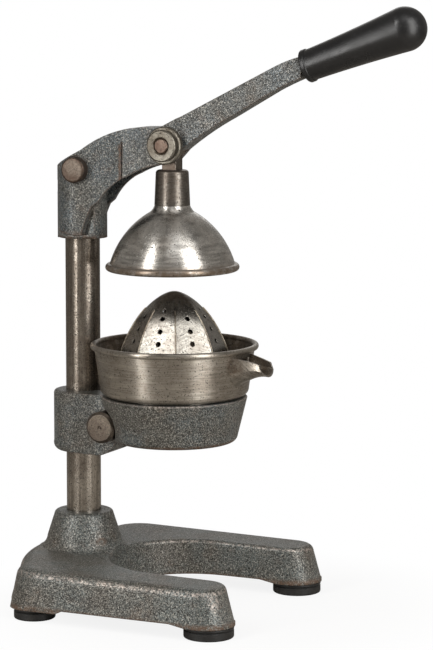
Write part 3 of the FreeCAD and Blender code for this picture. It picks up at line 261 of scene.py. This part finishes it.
enamel_color = blend(enamel_group, film, enamel_color, enamel_in["Rust"])
grain_noise = put(enamel_group, "ShaderNodeTexNoise", {
    "Vector": enamel_place, "Scale": 780.0, "Detail": 2.0, "Roughness": 0.7,
}).outputs[0]
enamel_tone = put(enamel_group, "ShaderNodeMapRange", {
    "Value": grain_noise, "From Min": 0.32, "From Max": 0.68, "To Min": 0.15, "To Max": 1.95,
}).outputs[0]
enamel_color = put(enamel_group, "ShaderNodeVectorMath", {
    0: enamel_color, 3: enamel_tone,
}, operation="SCALE").outputs[0]
fleck = spots(enamel_group, enamel_place, 940.0, 0.555, 0.64, 1.0)
fleck = calc(enamel_group, "MULTIPLY", fleck, enamel_in["Fleck Amount"])
enamel_color = blend(enamel_group, fleck, enamel_color, enamel_in["Fleck"])
small_pit = spots(enamel_group, enamel_place, 820.0, 0.575, 0.635, 1.0)
large_pit = spots(enamel_group, enamel_place, 430.0, 0.655, 0.70, 1.0)
pit = calc(enamel_group, "MAXIMUM", small_pit, calc(enamel_group, "MULTIPLY", large_pit, 0.9))
enamel_color = blend(enamel_group, calc(enamel_group, "MULTIPLY", pit, 0.85), enamel_color, enamel_in["Pit"])
rust_spread = spots(enamel_group, enamel_place, 210.0, 0.34, 0.58, 4.0, 0.75)
rust = calc(enamel_group, "MULTIPLY", enamel_in["Rusty"], rust_spread)
enamel_color = blend(
    enamel_group, calc(enamel_group, "MULTIPLY", rust, 0.85), enamel_color, enamel_in["Rust"],
)
chip_spread = spots(enamel_group, enamel_place, 420.0, 0.46, 0.60, 3.0, 0.8)
# Chips on thin edges are wear; the facing band that joins them here is partly painted highlight, in the same
# metal colour.
chip_and_highlight = calc(enamel_group, "MAXIMUM", enamel_in["Chipped"], enamel_in["Worn"])
chip_and_highlight = calc(enamel_group, "MULTIPLY", chip_and_highlight, chip_spread)
enamel_color = blend(enamel_group, calc(enamel_group, "MULTIPLY", chip_and_highlight, 0.8), enamel_color, enamel_in["Bare And Highlight"])
enamel_group.links.new(enamel_color, enamel_out.inputs["Color"])
enamel_rough = put(enamel_group, "ShaderNodeMapRange", {
    "Value": grain_noise, "From Min": 0.3, "From Max": 0.7, "To Min": 0.48, "To Max": 0.32,
}).outputs[0]
enamel_rough = calc(
    enamel_group, "ADD", enamel_rough, calc(enamel_group, "MULTIPLY", rust, 0.25), clamp=True,
)
enamel_group.links.new(enamel_rough, enamel_out.inputs["Roughness"])
enamel_metal = calc(enamel_group, "ADD", 0.25, calc(enamel_group, "MULTIPLY", chip_and_highlight, 0.5), clamp=True)
enamel_metal = calc(
    enamel_group, "SUBTRACT", enamel_metal, calc(enamel_group, "MULTIPLY", rust, 0.25), clamp=True,
)
enamel_group.links.new(enamel_metal, enamel_out.inputs["Metallic"])
dents = put(enamel_group, "ShaderNodeTexVoronoi", {
    "Vector": enamel_place, "Scale": 340.0, "Smoothness": 1.0,
}, feature="SMOOTH_F1").outputs["Distance"]
enamel_height = calc(enamel_group, "ADD", dents, calc(enamel_group, "MULTIPLY", grain_noise, 0.6))
enamel_height = calc(enamel_group, "SUBTRACT", enamel_height, calc(enamel_group, "MULTIPLY", pit, 0.8))
enamel_group.links.new(enamel_height, enamel_out.inputs["Height"])


def use_group(tree, group, inputs):
    node = put(tree, "ShaderNodeGroup", node_tree=group)
    for key, value in inputs.items():
        if isinstance(value, bpy.types.NodeSocket):
            tree.links.new(value, node.inputs[key])
        else:
            node.inputs[key].default_value = value
    return node.outputs


def object_place(tree):
    return put(tree, "ShaderNodeTexCoord").outputs["Object"]


def dress(node_name, material):
    """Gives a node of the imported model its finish, in every slot that it has."""
    mesh = cad[node_name].data
    mesh.materials.clear()
    mesh.materials.append(material)


def stain(tree, place, centre, reach):
    """1 in the middle of an egg-shaped patch, fading to 0 at its reach along x, y and z."""
    away = put(tree, "ShaderNodeVectorMath", {0: place, 1: centre}, operation="SUBTRACT").outputs[0]
    away = put(tree, "ShaderNodeVectorMath", {0: away, 1: reach}, operation="DIVIDE").outputs[0]
    far = put(tree, "ShaderNodeVectorMath", {0: away}, operation="LENGTH").outputs["Value"]
    return put(tree, "ShaderNodeMapRange", {
        "Value": far, "From Min": 1.0, "From Max": 0.45,
    }, interpolation_type="SMOOTHSTEP").outputs[0]


def cast_enamel(name, paint, shade, rust_band=None, worn_and_highlight=None, fleck=0.55, stains=(), scrapes=()):
    """Hammered enamel on one casting. rust_band is (from, to, amount) of height; worn is
    (low, high, amount, reach): a band of unpainted-metal colour, partly wear and partly painted
    highlight, where the surface faces up by between low and high, further than reach from the
    column; stains and scrapes are (centre, reach, amount)."""
    material, tree, shader = new_material(name)
    place = object_place(tree)
    wide = use_group(tree, edge_group, {"Radius": 0.0030, "Low": 0.05, "High": 0.30})
    narrow = use_group(tree, edge_group, {"Radius": 0.0014, "Low": 0.05, "High": 0.25})
    below = calc(tree, "SUBTRACT", 1.0, calc(tree, "MULTIPLY", wide["Up"], 0.75))
    rusty = calc(tree, "MULTIPLY", wide["Edge"], calc(tree, "MULTIPLY", below, 1.6), clamp=True)
    if rust_band:
        height = put(tree, "ShaderNodeSeparateXYZ", {0: place}).outputs[2]
        low = put(tree, "ShaderNodeMapRange", {
            "Value": height, "From Min": rust_band[0], "From Max": rust_band[1], "To Max": rust_band[2],
        }, interpolation_type="SMOOTHSTEP").outputs[0]
        rusty = calc(tree, "MAXIMUM", rusty, low)
    for centre, reach, amount in stains:
        patch = calc(tree, "MULTIPLY", stain(tree, place, centre, reach), amount)
        rusty = calc(tree, "MAXIMUM", rusty, patch)
    upper = calc(tree, "ADD", calc(tree, "MULTIPLY", narrow["Up"], 0.6), 0.1)
    inputs = {
        "Vector": place, "Paint": paint, "Shade": shade, "Rusty": rusty, "Fleck Amount": fleck,
        "Chipped": calc(tree, "MULTIPLY", narrow["Edge"], upper),
    }
    bare_and_highlight = 0.0
    # Painted highlight, partly wear: surfaces facing up between low and high, away from the column, take the
    # unpainted-metal colour.
    if worn_and_highlight:
        worn_and_highlight_low, worn_and_highlight_high, worn_and_highlight_amount, worn_and_highlight_reach = worn_and_highlight
        facing = put(tree, "ShaderNodeTexCoord").outputs["Normal"]
        up = put(tree, "ShaderNodeSeparateXYZ", {0: facing}).outputs[2]
        rise = put(tree, "ShaderNodeMapRange", {
            "Value": up, "From Min": worn_and_highlight_low - 0.15, "From Max": worn_and_highlight_low + 0.05,
        }, interpolation_type="SMOOTHSTEP").outputs[0]
        fall = put(tree, "ShaderNodeMapRange", {
            "Value": up, "From Min": worn_and_highlight_high + 0.15, "From Max": worn_and_highlight_high - 0.05,
        }, interpolation_type="SMOOTHSTEP").outputs[0]
        off_axis = put(tree, "ShaderNodeVectorMath", {
            0: place, 1: (column_x, 0.0, 0.0),
        }, operation="SUBTRACT").outputs[0]
        off_axis = put(tree, "ShaderNodeVectorMath", {
            0: off_axis, 1: (1.0, 1.0, 0.0),
        }, operation="MULTIPLY").outputs[0]
        away = put(tree, "ShaderNodeVectorMath", {0: off_axis}, operation="LENGTH").outputs["Value"]
        outside = put(tree, "ShaderNodeMapRange", {
            "Value": away, "From Min": worn_and_highlight_reach, "From Max": worn_and_highlight_reach + 0.006, "To Max": worn_and_highlight_amount,
        }, interpolation_type="SMOOTHSTEP").outputs[0]
        bare_and_highlight = calc(tree, "MULTIPLY", calc(tree, "MULTIPLY", rise, fall), outside)
    for centre, reach, amount in scrapes:
        patch = calc(tree, "MULTIPLY", stain(tree, place, centre, reach), amount)
        bare_and_highlight = calc(tree, "MAXIMUM", bare_and_highlight, patch)
    inputs["Worn"] = bare_and_highlight
    made = use_group(tree, enamel_group, inputs)
    for output in ("Roughness", "Metallic"):
        tree.links.new(made[output], shader.inputs[output])
    tree.links.new(made["Color"], shader.inputs["Base Color"])
    rounded = put(tree, "ShaderNodeBevel", {"Radius": 0.0014}, samples=6)
    bump = put(tree, "ShaderNodeBump", {
        "Strength": 0.5, "Distance": 0.0004, "Height": made["Height"], "Normal": rounded.outputs[0],
    })
    tree.links.new(bump.outputs[0], shader.inputs["Normal"])
    return material


dress("base_casting", cast_enamel(
    "base_enamel", (0.092, 0.102, 0.098, 1.0), (0.085, 0.079, 0.068, 1.0),
    # The upward-facing band on the outer roundings is partly wear, partly painted highlight.
    rust_band=(0.0160, 0.0122, 0.9), worn_and_highlight=(0.35, 0.68, 0.62, 0.046),
    stains=[((column_x + 0.0285, -0.0190, 0.053), (0.008, 0.008, 0.005), 0.8)],
    scrapes=[((column_x + 0.179, -0.106, 0.033), (0.010, 0.010, 0.012), 0.5)],
))


# Rubber feet, black and slightly dusty, each held by a slotted, plated screw from below.
def rubber(name, tone):
    material, tree, shader = new_material(name)
    place = object_place(tree)
    dust = spots(tree, place, 150.0, 0.45, 0.70, 4.0)
    fine = spots(tree, place, 900.0, 0.40, 0.65)
    tree.links.new(
        blend(tree, calc(tree, "MULTIPLY", dust, 0.35), tone, (0.035, 0.032, 0.028, 1.0)),
        shader.inputs["Base Color"],
    )
    tree.links.new(
        put(tree, "ShaderNodeMapRange", {"Value": fine, "To Min": 0.42, "To Max": 0.60}).outputs[0],
        shader.inputs["Roughness"],
    )
    bump = put(tree, "ShaderNodeBump", {"Strength": 0.2, "Distance": 0.0002, "Height": fine})
    tree.links.new(bump.outputs[0], shader.inputs["Normal"])
    return material


foot_rubber = rubber("foot_rubber", (0.008, 0.008, 0.008, 1.0))
for foot in ("front_foot_near", "front_foot_far", "rear_foot_near", "rear_foot_far"):
    dress(foot, foot_rubber)


# Steel finishes: bar, turned, spun and plated. All share one group: a fine grain that runs
# along the streaks, dark pits, a brown patina that gathers in patches and low down, and a
# painted highlight along thin edges.
steel_group, steel_in, steel_out = new_group(
    "worn_steel",
    [
        ("Vector", "Vector", None), ("Streak", "Vector", None),
        ("Steel", "Color", (0.42, 0.40, 0.36, 1.0)), ("Patina", "Color", (0.15, 0.11, 0.075, 1.0)),
        ("Pit", "Color", (0.03, 0.025, 0.02, 1.0)), ("Patina Amount", "Float", 0.5),
        ("Pits", "Float", 0.5), ("Polish", "Float", 0.3), ("Edge", "Float", 0.0),
        ("Brown Edge", "Float", 0.0),
    ],
    [("Color", "Color"), ("Roughness", "Float"), ("Metallic", "Float"), ("Height", "Float")],
)
grain = put(steel_group, "ShaderNodeTexNoise", {
    "Vector": steel_in["Streak"], "Scale": 1.0, "Detail": 5.0, "Roughness": 0.65,
}).outputs[0]
grain_tone = put(steel_group, "ShaderNodeMapRange", {
    "Value": grain, "From Min": 0.30, "From Max": 0.70, "To Min": 0.50, "To Max": 1.30,
}).outputs[0]
steel_color = put(steel_group, "ShaderNodeVectorMath", {
    0: steel_in["Steel"], 3: grain_tone,
}, operation="SCALE").outputs[0]
patch = spots(steel_group, steel_in["Vector"], 42.0, 0.42, 0.64, 4.0, 0.6)
freckle = spots(steel_group, steel_in["Vector"], 420.0, 0.50, 0.64, 3.0, 0.7)
patina = calc(steel_group, "ADD", patch, calc(steel_group, "MULTIPLY", freckle, 0.5))
patina = calc(steel_group, "MULTIPLY", patina, steel_in["Patina Amount"], clamp=True)
patina = calc(steel_group, "MAXIMUM", patina, steel_in["Brown Edge"])
steel_color = blend(steel_group, patina, steel_color, steel_in["Patina"])
steel_pit = spots(steel_group, steel_in["Vector"], 760.0, 0.60, 0.68, 1.5)
steel_pit = calc(steel_group, "MULTIPLY", steel_pit, steel_in["Pits"], clamp=True)
steel_color = blend(steel_group, steel_pit, steel_color, steel_in["Pit"])
# Painted highlight: thin edges are lightened towards a pale steel colour.
painted_edge_highlight = calc(steel_group, "MULTIPLY", steel_in["Edge"], 0.5)
steel_color = blend(steel_group, painted_edge_highlight, steel_color, (0.62, 0.58, 0.52, 1.0))
steel_group.links.new(steel_color, steel_out.inputs["Color"])
steel_rough = calc(steel_group, "ADD", steel_in["Polish"], calc(steel_group, "MULTIPLY", grain, 0.08))
steel_rough = calc(steel_group, "ADD", steel_rough, calc(steel_group, "MULTIPLY", patina, 0.12))
steel_rough = calc(
    steel_group, "ADD", steel_rough, calc(steel_group, "MULTIPLY", steel_pit, 0.3), clamp=True,
)
steel_group.links.new(steel_rough, steel_out.inputs["Roughness"])
steel_metal = calc(steel_group, "SUBTRACT", 1.0, calc(steel_group, "MULTIPLY", patina, 0.25))
steel_metal = calc(
    steel_group, "SUBTRACT", steel_metal, calc(steel_group, "MULTIPLY", steel_pit, 0.5), clamp=True,
)
steel_group.links.new(steel_metal, steel_out.inputs["Metallic"])
steel_height = calc(steel_group, "SUBTRACT", calc(steel_group, "MULTIPLY", grain, 0.35), steel_pit)
steel_height = calc(steel_group, "SUBTRACT", steel_height, calc(steel_group, "MULTIPLY", freckle, 0.2))
steel_group.links.new(steel_height, steel_out.inputs["Height"])

ring_group, ring_in, ring_out = new_group(
    "turning_marks",
    [("Vector", "Vector", None), ("Around", "Float", 3.0), ("Across", "Float", 900.0)],
    [("Streak", "Vector"), ("Radius", "Float"), ("Height", "Float")],
)
ring_xyz = put(ring_group, "ShaderNodeSeparateXYZ", {0: ring_in["Vector"]}).outputs
ring_radius = calc(ring_group, "SQRT", calc(
    ring_group, "ADD",
    calc(ring_group, "MULTIPLY", ring_xyz[0], ring_xyz[0]),
    calc(ring_group, "MULTIPLY", ring_xyz[1], ring_xyz[1]),
))
ring_safe = calc(ring_group, "MAXIMUM", ring_radius, 0.0001)
ring_cos = calc(ring_group, "DIVIDE", ring_xyz[0], ring_safe)
ring_cos = calc(ring_group, "MULTIPLY", ring_cos, ring_in["Around"])
ring_sin = calc(ring_group, "DIVIDE", ring_xyz[1], ring_safe)
ring_sin = calc(ring_group, "MULTIPLY", ring_sin, ring_in["Around"])
ring_along = calc(ring_group, "ADD", ring_xyz[2], ring_radius)
ring_along = calc(ring_group, "MULTIPLY", ring_along, ring_in["Across"])
ring_streak = put(ring_group, "ShaderNodeCombineXYZ", {0: ring_cos, 1: ring_sin, 2: ring_along}).outputs[0]
ring_group.links.new(ring_streak, ring_out.inputs["Streak"])
ring_group.links.new(ring_radius, ring_out.inputs["Radius"])
ring_group.links.new(ring_xyz[2], ring_out.inputs["Height"])


def steel(name, tone, patina_tone, patina_amount, pits, polish, centre=(0.0, 0.0, 0.0),
          turn=(0.0, 0.0, 0.0), lengthwise=None, brown=None, ring=None, stains=(), spun=0.0, inside=0.0):
    """Worn steel. Turned about centre (turn stands its axis up), or drawn lengthwise; brown is
    (start, end, amount) of a height band that has browned, ring the same of a radius (browning
    on the knob, painted shade round the pin head on the rear pin and the washer), and
    stains are (centre, reach, amount). spun draws its gloss out up and down, as brushing does,
    and inside is how far the faces towards the axis have browned."""
    material, tree, shader = new_material(name)
    if spun:
        shader.inputs["Anisotropic"].default_value = spun
        shader.inputs["Anisotropic Rotation"].default_value = 0.25
        around = put(tree, "ShaderNodeTangent", direction_type="RADIAL", axis="Z")
        tree.links.new(around.outputs[0], shader.inputs["Tangent"])
    place = put(tree, "ShaderNodeTexCoord").outputs["Object"]
    local = put(tree, "ShaderNodeVectorMath", {0: place, 1: centre}, operation="SUBTRACT").outputs[0]
    local = put(tree, "ShaderNodeMapping", {"Vector": local, "Rotation": turn}).outputs[0]
    turned = use_group(tree, ring_group, {"Vector": local})
    streak = turned["Streak"]
    if lengthwise:
        streak = put(tree, "ShaderNodeMapping", {"Vector": local, "Scale": lengthwise}).outputs[0]
    # Edge mask for the painted highlight on thin edges.
    edge = use_group(tree, edge_group, {"Radius": 0.0009, "Low": 0.04, "High": 0.3})["Edge"]
    inputs = {
        "Vector": local, "Streak": streak, "Steel": tone, "Patina": patina_tone,
        "Patina Amount": patina_amount, "Pits": pits, "Polish": polish, "Edge": edge,
    }
    browned = 0.0
    for band, measure in ((brown, "Height"), (ring, "Radius")):
        if band:
            share = put(tree, "ShaderNodeMapRange", {
                "Value": turned[measure], "From Min": band[0], "From Max": band[1], "To Max": band[2],
            }, interpolation_type="SMOOTHSTEP").outputs[0]
            browned = calc(tree, "MAXIMUM", browned, share)
    for middle, reach, amount in stains:
        patch = calc(tree, "MULTIPLY", stain(tree, place, middle, reach), amount)
        browned = calc(tree, "MAXIMUM", browned, patch)
    if inside:
        facing = put(tree, "ShaderNodeTexCoord").outputs["Normal"]
        outward = put(tree, "ShaderNodeVectorMath", {
            0: local, 1: (1.0, 1.0, 0.0),
        }, operation="MULTIPLY").outputs[0]
        outward = put(tree, "ShaderNodeVectorMath", {
            0: facing, 1: outward,
        }, operation="DOT_PRODUCT").outputs["Value"]
        share = put(tree, "ShaderNodeMapRange", {
            "Value": outward, "From Min": -0.004, "From Max": -0.020, "To Max": inside,
        }, interpolation_type="SMOOTHSTEP").outputs[0]
        browned = calc(tree, "MAXIMUM", browned, share)
    if brown or ring or stains or inside:
        ragged = spots(tree, local, 160.0, 0.20, 0.58, 4.0, 0.7)
        inputs["Brown Edge"] = calc(tree, "MULTIPLY", browned, ragged)
    made = use_group(tree, steel_group, inputs)
    for output in ("Roughness", "Metallic"):
        tree.links.new(made[output], shader.inputs[output])
    tree.links.new(made["Color"], shader.inputs["Base Color"])
    rounded = put(tree, "ShaderNodeBevel", {"Radius": 0.0006}, samples=6)
    bump = put(tree, "ShaderNodeBump", {
        "Strength": 0.35, "Distance": 0.00012, "Height": made["Height"], "Normal": rounded.outputs[0],
    })
    tree.links.new(bump.outputs[0], shader.inputs["Normal"])
    return material


def middle_of(node_name):
    low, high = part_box(node_name)
    return (low + high) / 2


plated = steel(
    "zinc_plate", (0.24, 0.23, 0.21, 1.0), (0.10, 0.07, 0.05, 1.0),
    patina_amount=0.6, pits=0.4, polish=0.32,
)
for fastener in ("foot_screws", "column_washer", "column_bolt", "head_set_screw", "grip_stud",
                 "bell_washer", "bell_lock_nut", "clamp_washer", "clamp_nut"):
    dress(fastener, plated)


# The column: a ground bar, polished by the bracket, with long vertical streaks and pits.
dress("column", steel(
    "column_steel", (0.38, 0.345, 0.30, 1.0), (0.075, 0.052, 0.036, 1.0),
    patina_amount=0.5, pits=0.95, polish=0.17,
    centre=(column_x, 0.0, 0.0), lengthwise=(520.0, 520.0, 16.0), brown=(0.135, 0.190, 0.62),
))


# The head: a casting pinned on the column's spigot, its lug carrying a bronze bush.
dress("head_casting", cast_enamel(
    "head_enamel", (0.084, 0.096, 0.098, 1.0), (0.078, 0.075, 0.066, 1.0),
    rust_band=(0.3205, 0.3165, 0.85),
    stains=[((column_x + 0.012, -0.020, 0.330), (0.0035, 0.010, 0.022), 0.9)],
))
bronze = steel(
    "bush_bronze", (0.40, 0.28, 0.13, 1.0), (0.16, 0.10, 0.05, 1.0),
    patina_amount=0.4, pits=0.2, polish=0.3,
)
dress("lug_bush", bronze)
dress("link_bush", bronze)


# The lever: one casting in the same enamel, bluer where hands have kept it clean.
dress("lever_casting", cast_enamel(
    "lever_enamel", (0.070, 0.082, 0.088, 1.0), (0.066, 0.066, 0.060, 1.0),
    rust_band=(0.326, 0.318, 0.6), fleck=0.5,
))


# Rear pin and its round nut: browned, burnished steel, riveted smooth.
lever_pin = middle_of("rear_pivot_pin")
dress("rear_pivot_pin", steel(
    "pin_steel", (0.12, 0.098, 0.08, 1.0), (0.065, 0.042, 0.03, 1.0),
    patina_amount=0.7, pits=0.9, polish=0.26,
    # Painted shade: the ring darkens the pin head's outer part, a dark ring round the pin.
    centre=tuple(lever_pin), turn=(math.pi / 2, 0.0, 0.0), ring=(0.0075, 0.0100, 0.8),
))
dress("rear_pin_nut", cad["rear_pivot_pin"].data.materials[0])


# Front pin, thick washer and collar: the washer and collar are paler than the pin's end.
bell_pin = middle_of("front_pin_washer")
dress("front_pivot_pin", steel(
    "front_pin_steel", (0.165, 0.125, 0.10, 1.0), (0.09, 0.055, 0.04, 1.0),
    patina_amount=0.6, pits=0.8, polish=0.30,
    centre=tuple(bell_pin), turn=(math.pi / 2, 0.0, 0.0),
))
washer_steel = steel(
    "washer_steel", (0.215, 0.20, 0.17, 1.0), (0.075, 0.055, 0.035, 1.0),
    patina_amount=0.45, pits=0.9, polish=0.36,
    # Painted shade: the ring darkens the washer and collar faces close to the pin, in the corner round the
    # pin head.
    centre=tuple(bell_pin), turn=(math.pi / 2, 0.0, 0.0), ring=(0.0088, 0.0070, 0.95),
)
dress("front_pin_washer", washer_steel)
dress("front_pin_collar", washer_steel)


# The grip: black moulded plastic, glossy, with fine scratches and a soft bloom.
grip_material, grip_tree, grip_shader = new_material("grip_black")
grip_place = object_place(grip_tree)
grip_scuff = spots(grip_tree, grip_place, 260.0, 0.55, 0.72, 4.0, 0.7)
grip_bloom = spots(grip_tree, grip_place, 30.0, 0.35, 0.70, 3.0)
grip_tree.links.new(
    blend(
        grip_tree, calc(grip_tree, "MULTIPLY", grip_scuff, 0.4),
        (0.005, 0.005, 0.0055, 1.0), (0.022, 0.022, 0.023, 1.0),
    ),
    grip_shader.inputs["Base Color"],
)
grip_rough = put(grip_tree, "ShaderNodeMapRange", {
    "Value": grip_bloom, "To Min": 0.26, "To Max": 0.36,
}).outputs[0]
grip_rough = calc(grip_tree, "ADD", grip_rough, calc(grip_tree, "MULTIPLY", grip_scuff, 0.12))
grip_tree.links.new(grip_rough, grip_shader.inputs["Roughness"])
grip_bump = put(grip_tree, "ShaderNodeBump", {"Strength": 0.15, "Distance": 0.0002, "Height": grip_scuff})
grip_tree.links.new(grip_bump.outputs[0], grip_shader.inputs["Normal"])
dress("handle_grip", grip_material)


# The bell: a spun steel shell with a rolled, browned rim, under a turned neck.
bell_axis = middle_of("bell_shell")
bell_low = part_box("bell_shell")[0].z
dress("bell_shell", steel(
    "bell_steel", (0.56, 0.54, 0.505, 1.0), (0.15, 0.098, 0.058, 1.0),
    patina_amount=0.26, pits=0.9, polish=0.22,
    centre=(bell_axis.x, 0.0, 0.0), brown=(bell_low + 0.012, bell_low + 0.003, 0.85), spun=0.7,
))
neck_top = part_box("bell_neck")[1].z
dress("bell_neck", steel(
    "neck_steel", (0.19, 0.175, 0.155, 1.0), (0.10, 0.07, 0.05, 1.0),
    patina_amount=0.4, pits=0.9, polish=0.28,
    centre=(bell_axis.x, 0.0, 0.0), brown=(neck_top - 0.004, neck_top, 0.7), spun=0.3,
))
dress("bell_link", steel(
    "link_steel", (0.16, 0.14, 0.115, 1.0), (0.09, 0.06, 0.045, 1.0),
    patina_amount=0.6, pits=0.6, polish=0.30,
    centre=(bell_axis.x, 0.0, 0.0), lengthwise=(300.0, 300.0, 30.0),
))


# The bracket: split collar, neck and ring in one casting, clamped on the column.
bracket_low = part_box("bowl_bracket")[0].z
bracket_ring_x = middle_of("strainer_cone").x
dress("bowl_bracket", cast_enamel(
    "bracket_enamel", (0.086, 0.099, 0.102, 1.0), (0.080, 0.077, 0.068, 1.0),
    # The upward-facing band on the ring is partly wear, partly painted highlight.
    worn_and_highlight=(0.30, 0.80, 0.55, 0.030),
    stains=[((bracket_ring_x + 0.045, 0.0, bracket_low + 0.0148), (0.125, 0.125, 0.0042), 1.0)],
))


# The clamp knob: a turned steel knob gone brown, dimpled where it was held in the lathe.
knob_middle = middle_of("clamp_knob")
dress("clamp_knob", steel(
    "knob_steel", (0.16, 0.135, 0.11, 1.0), (0.075, 0.055, 0.042, 1.0),
    patina_amount=0.6, pits=0.9, polish=0.30,
    centre=tuple(knob_middle), turn=(math.pi / 2, 0.0, 0.0), ring=(0.0035, 0.0012, 0.9),
))


# The bowl: spun steel with a rolled rim, duller inside; its spout is let into the wall.
bowl_axis = middle_of("strainer_cone")
bowl_steel = steel(
    "bowl_steel", (0.42, 0.385, 0.335, 1.0), (0.11, 0.078, 0.052, 1.0),
    patina_amount=0.34, pits=0.9, polish=0.28,
    centre=(bowl_axis.x, 0.0, 0.0), spun=0.9, inside=0.8,
    stains=[((bowl_axis.x + 0.067, -0.020, 0.214), (0.012, 0.012, 0.012), 0.9)],
)
dress("juice_bowl", bowl_steel)
dress("pouring_spout", bowl_steel)


# The strainer cone: pressed steel, the brightest piece, its ridges rubbed clean.
cone_low, cone_high = (corner.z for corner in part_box("strainer_cone"))
dress("strainer_cone", steel(
    "cone_steel", (0.32, 0.305, 0.275, 1.0), (0.10, 0.075, 0.055, 1.0),
    patina_amount=0.35, pits=0.8, polish=0.20,
    centre=(bowl_axis.x, 0.0, 0.0), brown=(cone_high - 0.016, cone_high - 0.004, 0.85),
))

# A fine raised bead runs up each of the cone's eight ridges. One bead is laid on the cone's
# own surface, found by looking in from outside, and repeated round the axis.
cone_ridges = 8
ridge_turn = math.radians(-62.5)
ridge_radius = 0.0007
ridge_rise = 0.0001
ridge_low = cone_low + 0.003
ridge_high = cone_high - 0.014
ridge_steps = 28
outside_cone = 0.08
toward_axis = Vector((-math.cos(ridge_turn), -math.sin(ridge_turn), 0.0))
ridge_points = []
for step in range(ridge_steps + 1):
    ridge_z = ridge_low + (ridge_high - ridge_low) * step / ridge_steps
    on_axis = Vector((bowl_axis.x, 0.0, ridge_z))
    point = cad["strainer_cone"].ray_cast(on_axis - toward_axis * outside_cone, toward_axis)[1]
    ridge_out = (point - on_axis).length + ridge_rise
    ridge_points.append(Vector((ridge_out, 0.0, ridge_z)))
ridge_line = bpy.data.meshes.new("ridge_line")
ridge_line.from_pydata(ridge_points, [(k, k + 1) for k in range(ridge_steps)], [])
ridge_source = bpy.data.objects.new("ridge_source", ridge_line)
scene.collection.objects.link(ridge_source)

ridge_tree = bpy.data.node_groups.new("cone_ridge_beads", "GeometryNodeTree")
for socket_name, kind in (
    ("Geometry", "Geometry"), ("Count", "Int"), ("Radius", "Float"), ("First Angle", "Float"),
    ("Axis X", "Float"), ("Finish", "Material"),
):
    ridge_tree.interface.new_socket(socket_name, in_out="INPUT", socket_type="NodeSocket" + kind)
ridge_tree.interface.new_socket("Geometry", in_out="OUTPUT", socket_type="NodeSocketGeometry")
ridge_in = put(ridge_tree, "NodeGroupInput").outputs
ridge_wire = put(ridge_tree, "GeometryNodeMeshToCurve", {"Mesh": ridge_in["Geometry"]}).outputs[0]
ridge_round = put(ridge_tree, "GeometryNodeCurvePrimitiveCircle", {
    "Resolution": 8, "Radius": ridge_in["Radius"],
}).outputs[0]
ridge_bead = put(ridge_tree, "GeometryNodeCurveToMesh", {
    "Curve": ridge_wire, "Profile Curve": ridge_round, "Fill Caps": True,
}).outputs[0]
ridge_count = put(ridge_tree, "GeometryNodeMeshLine", {
    "Count": ridge_in["Count"], "Offset": (0.0, 0.0, 0.0),
}).outputs[0]
ridge_pitch = calc(ridge_tree, "DIVIDE", 2.0 * math.pi, ridge_in["Count"])
ridge_angle = calc(ridge_tree, "MULTIPLY", put(ridge_tree, "GeometryNodeInputIndex").outputs[0], ridge_pitch)
ridge_angle = calc(ridge_tree, "ADD", ridge_angle, ridge_in["First Angle"])
ridge_all = put(ridge_tree, "GeometryNodeInstanceOnPoints", {
    "Points": ridge_count, "Instance": ridge_bead,
    "Rotation": put(ridge_tree, "ShaderNodeCombineXYZ", {2: ridge_angle}).outputs[0],
}).outputs[0]
ridge_moved = put(ridge_tree, "GeometryNodeTransform", {
    "Geometry": put(ridge_tree, "GeometryNodeRealizeInstances", {0: ridge_all}).outputs[0],
    "Translation": put(ridge_tree, "ShaderNodeCombineXYZ", {0: ridge_in["Axis X"]}).outputs[0],
}).outputs[0]
ridge_done = put(ridge_tree, "GeometryNodeSetMaterial", {
    "Geometry": ridge_moved, "Material": ridge_in["Finish"],
}).outputs[0]
put(ridge_tree, "NodeGroupOutput", {"Geometry": ridge_done})

ridge_steel = steel(
    "ridge_steel", (0.36, 0.32, 0.26, 1.0), (0.12, 0.08, 0.055, 1.0),
    patina_amount=0.45, pits=0.5, polish=0.24, centre=(bowl_axis.x, 0.0, 0.0),
)
ridge_modifier = ridge_source.modifiers.new("beads", "NODES")
ridge_modifier.node_group = ridge_tree
ridge_values = {
    "Count": cone_ridges, "Radius": ridge_radius, "First Angle": ridge_turn, "Axis X": bowl_axis.x,
    "Finish": ridge_steel,
}
for socket in ridge_tree.interface.items_tree:
    if socket.in_out == "INPUT" and socket.name in ridge_values:
        ridge_modifier[socket.identifier] = ridge_values[socket.name]
ridge_made = ridge_source.evaluated_get(bpy.context.evaluated_depsgraph_get())
ridge_mesh = bpy.data.meshes.new_from_object(ridge_made)
ridge_mesh.name = "cone_ridge_beads"
ridge_source.modifiers.remove(ridge_modifier)
bpy.data.objects.remove(ridge_source)
ridges = bpy.data.objects.new("cone_ridge_beads", ridge_mesh)
scene.collection.objects.link(ridges)
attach(ridges, "cone")
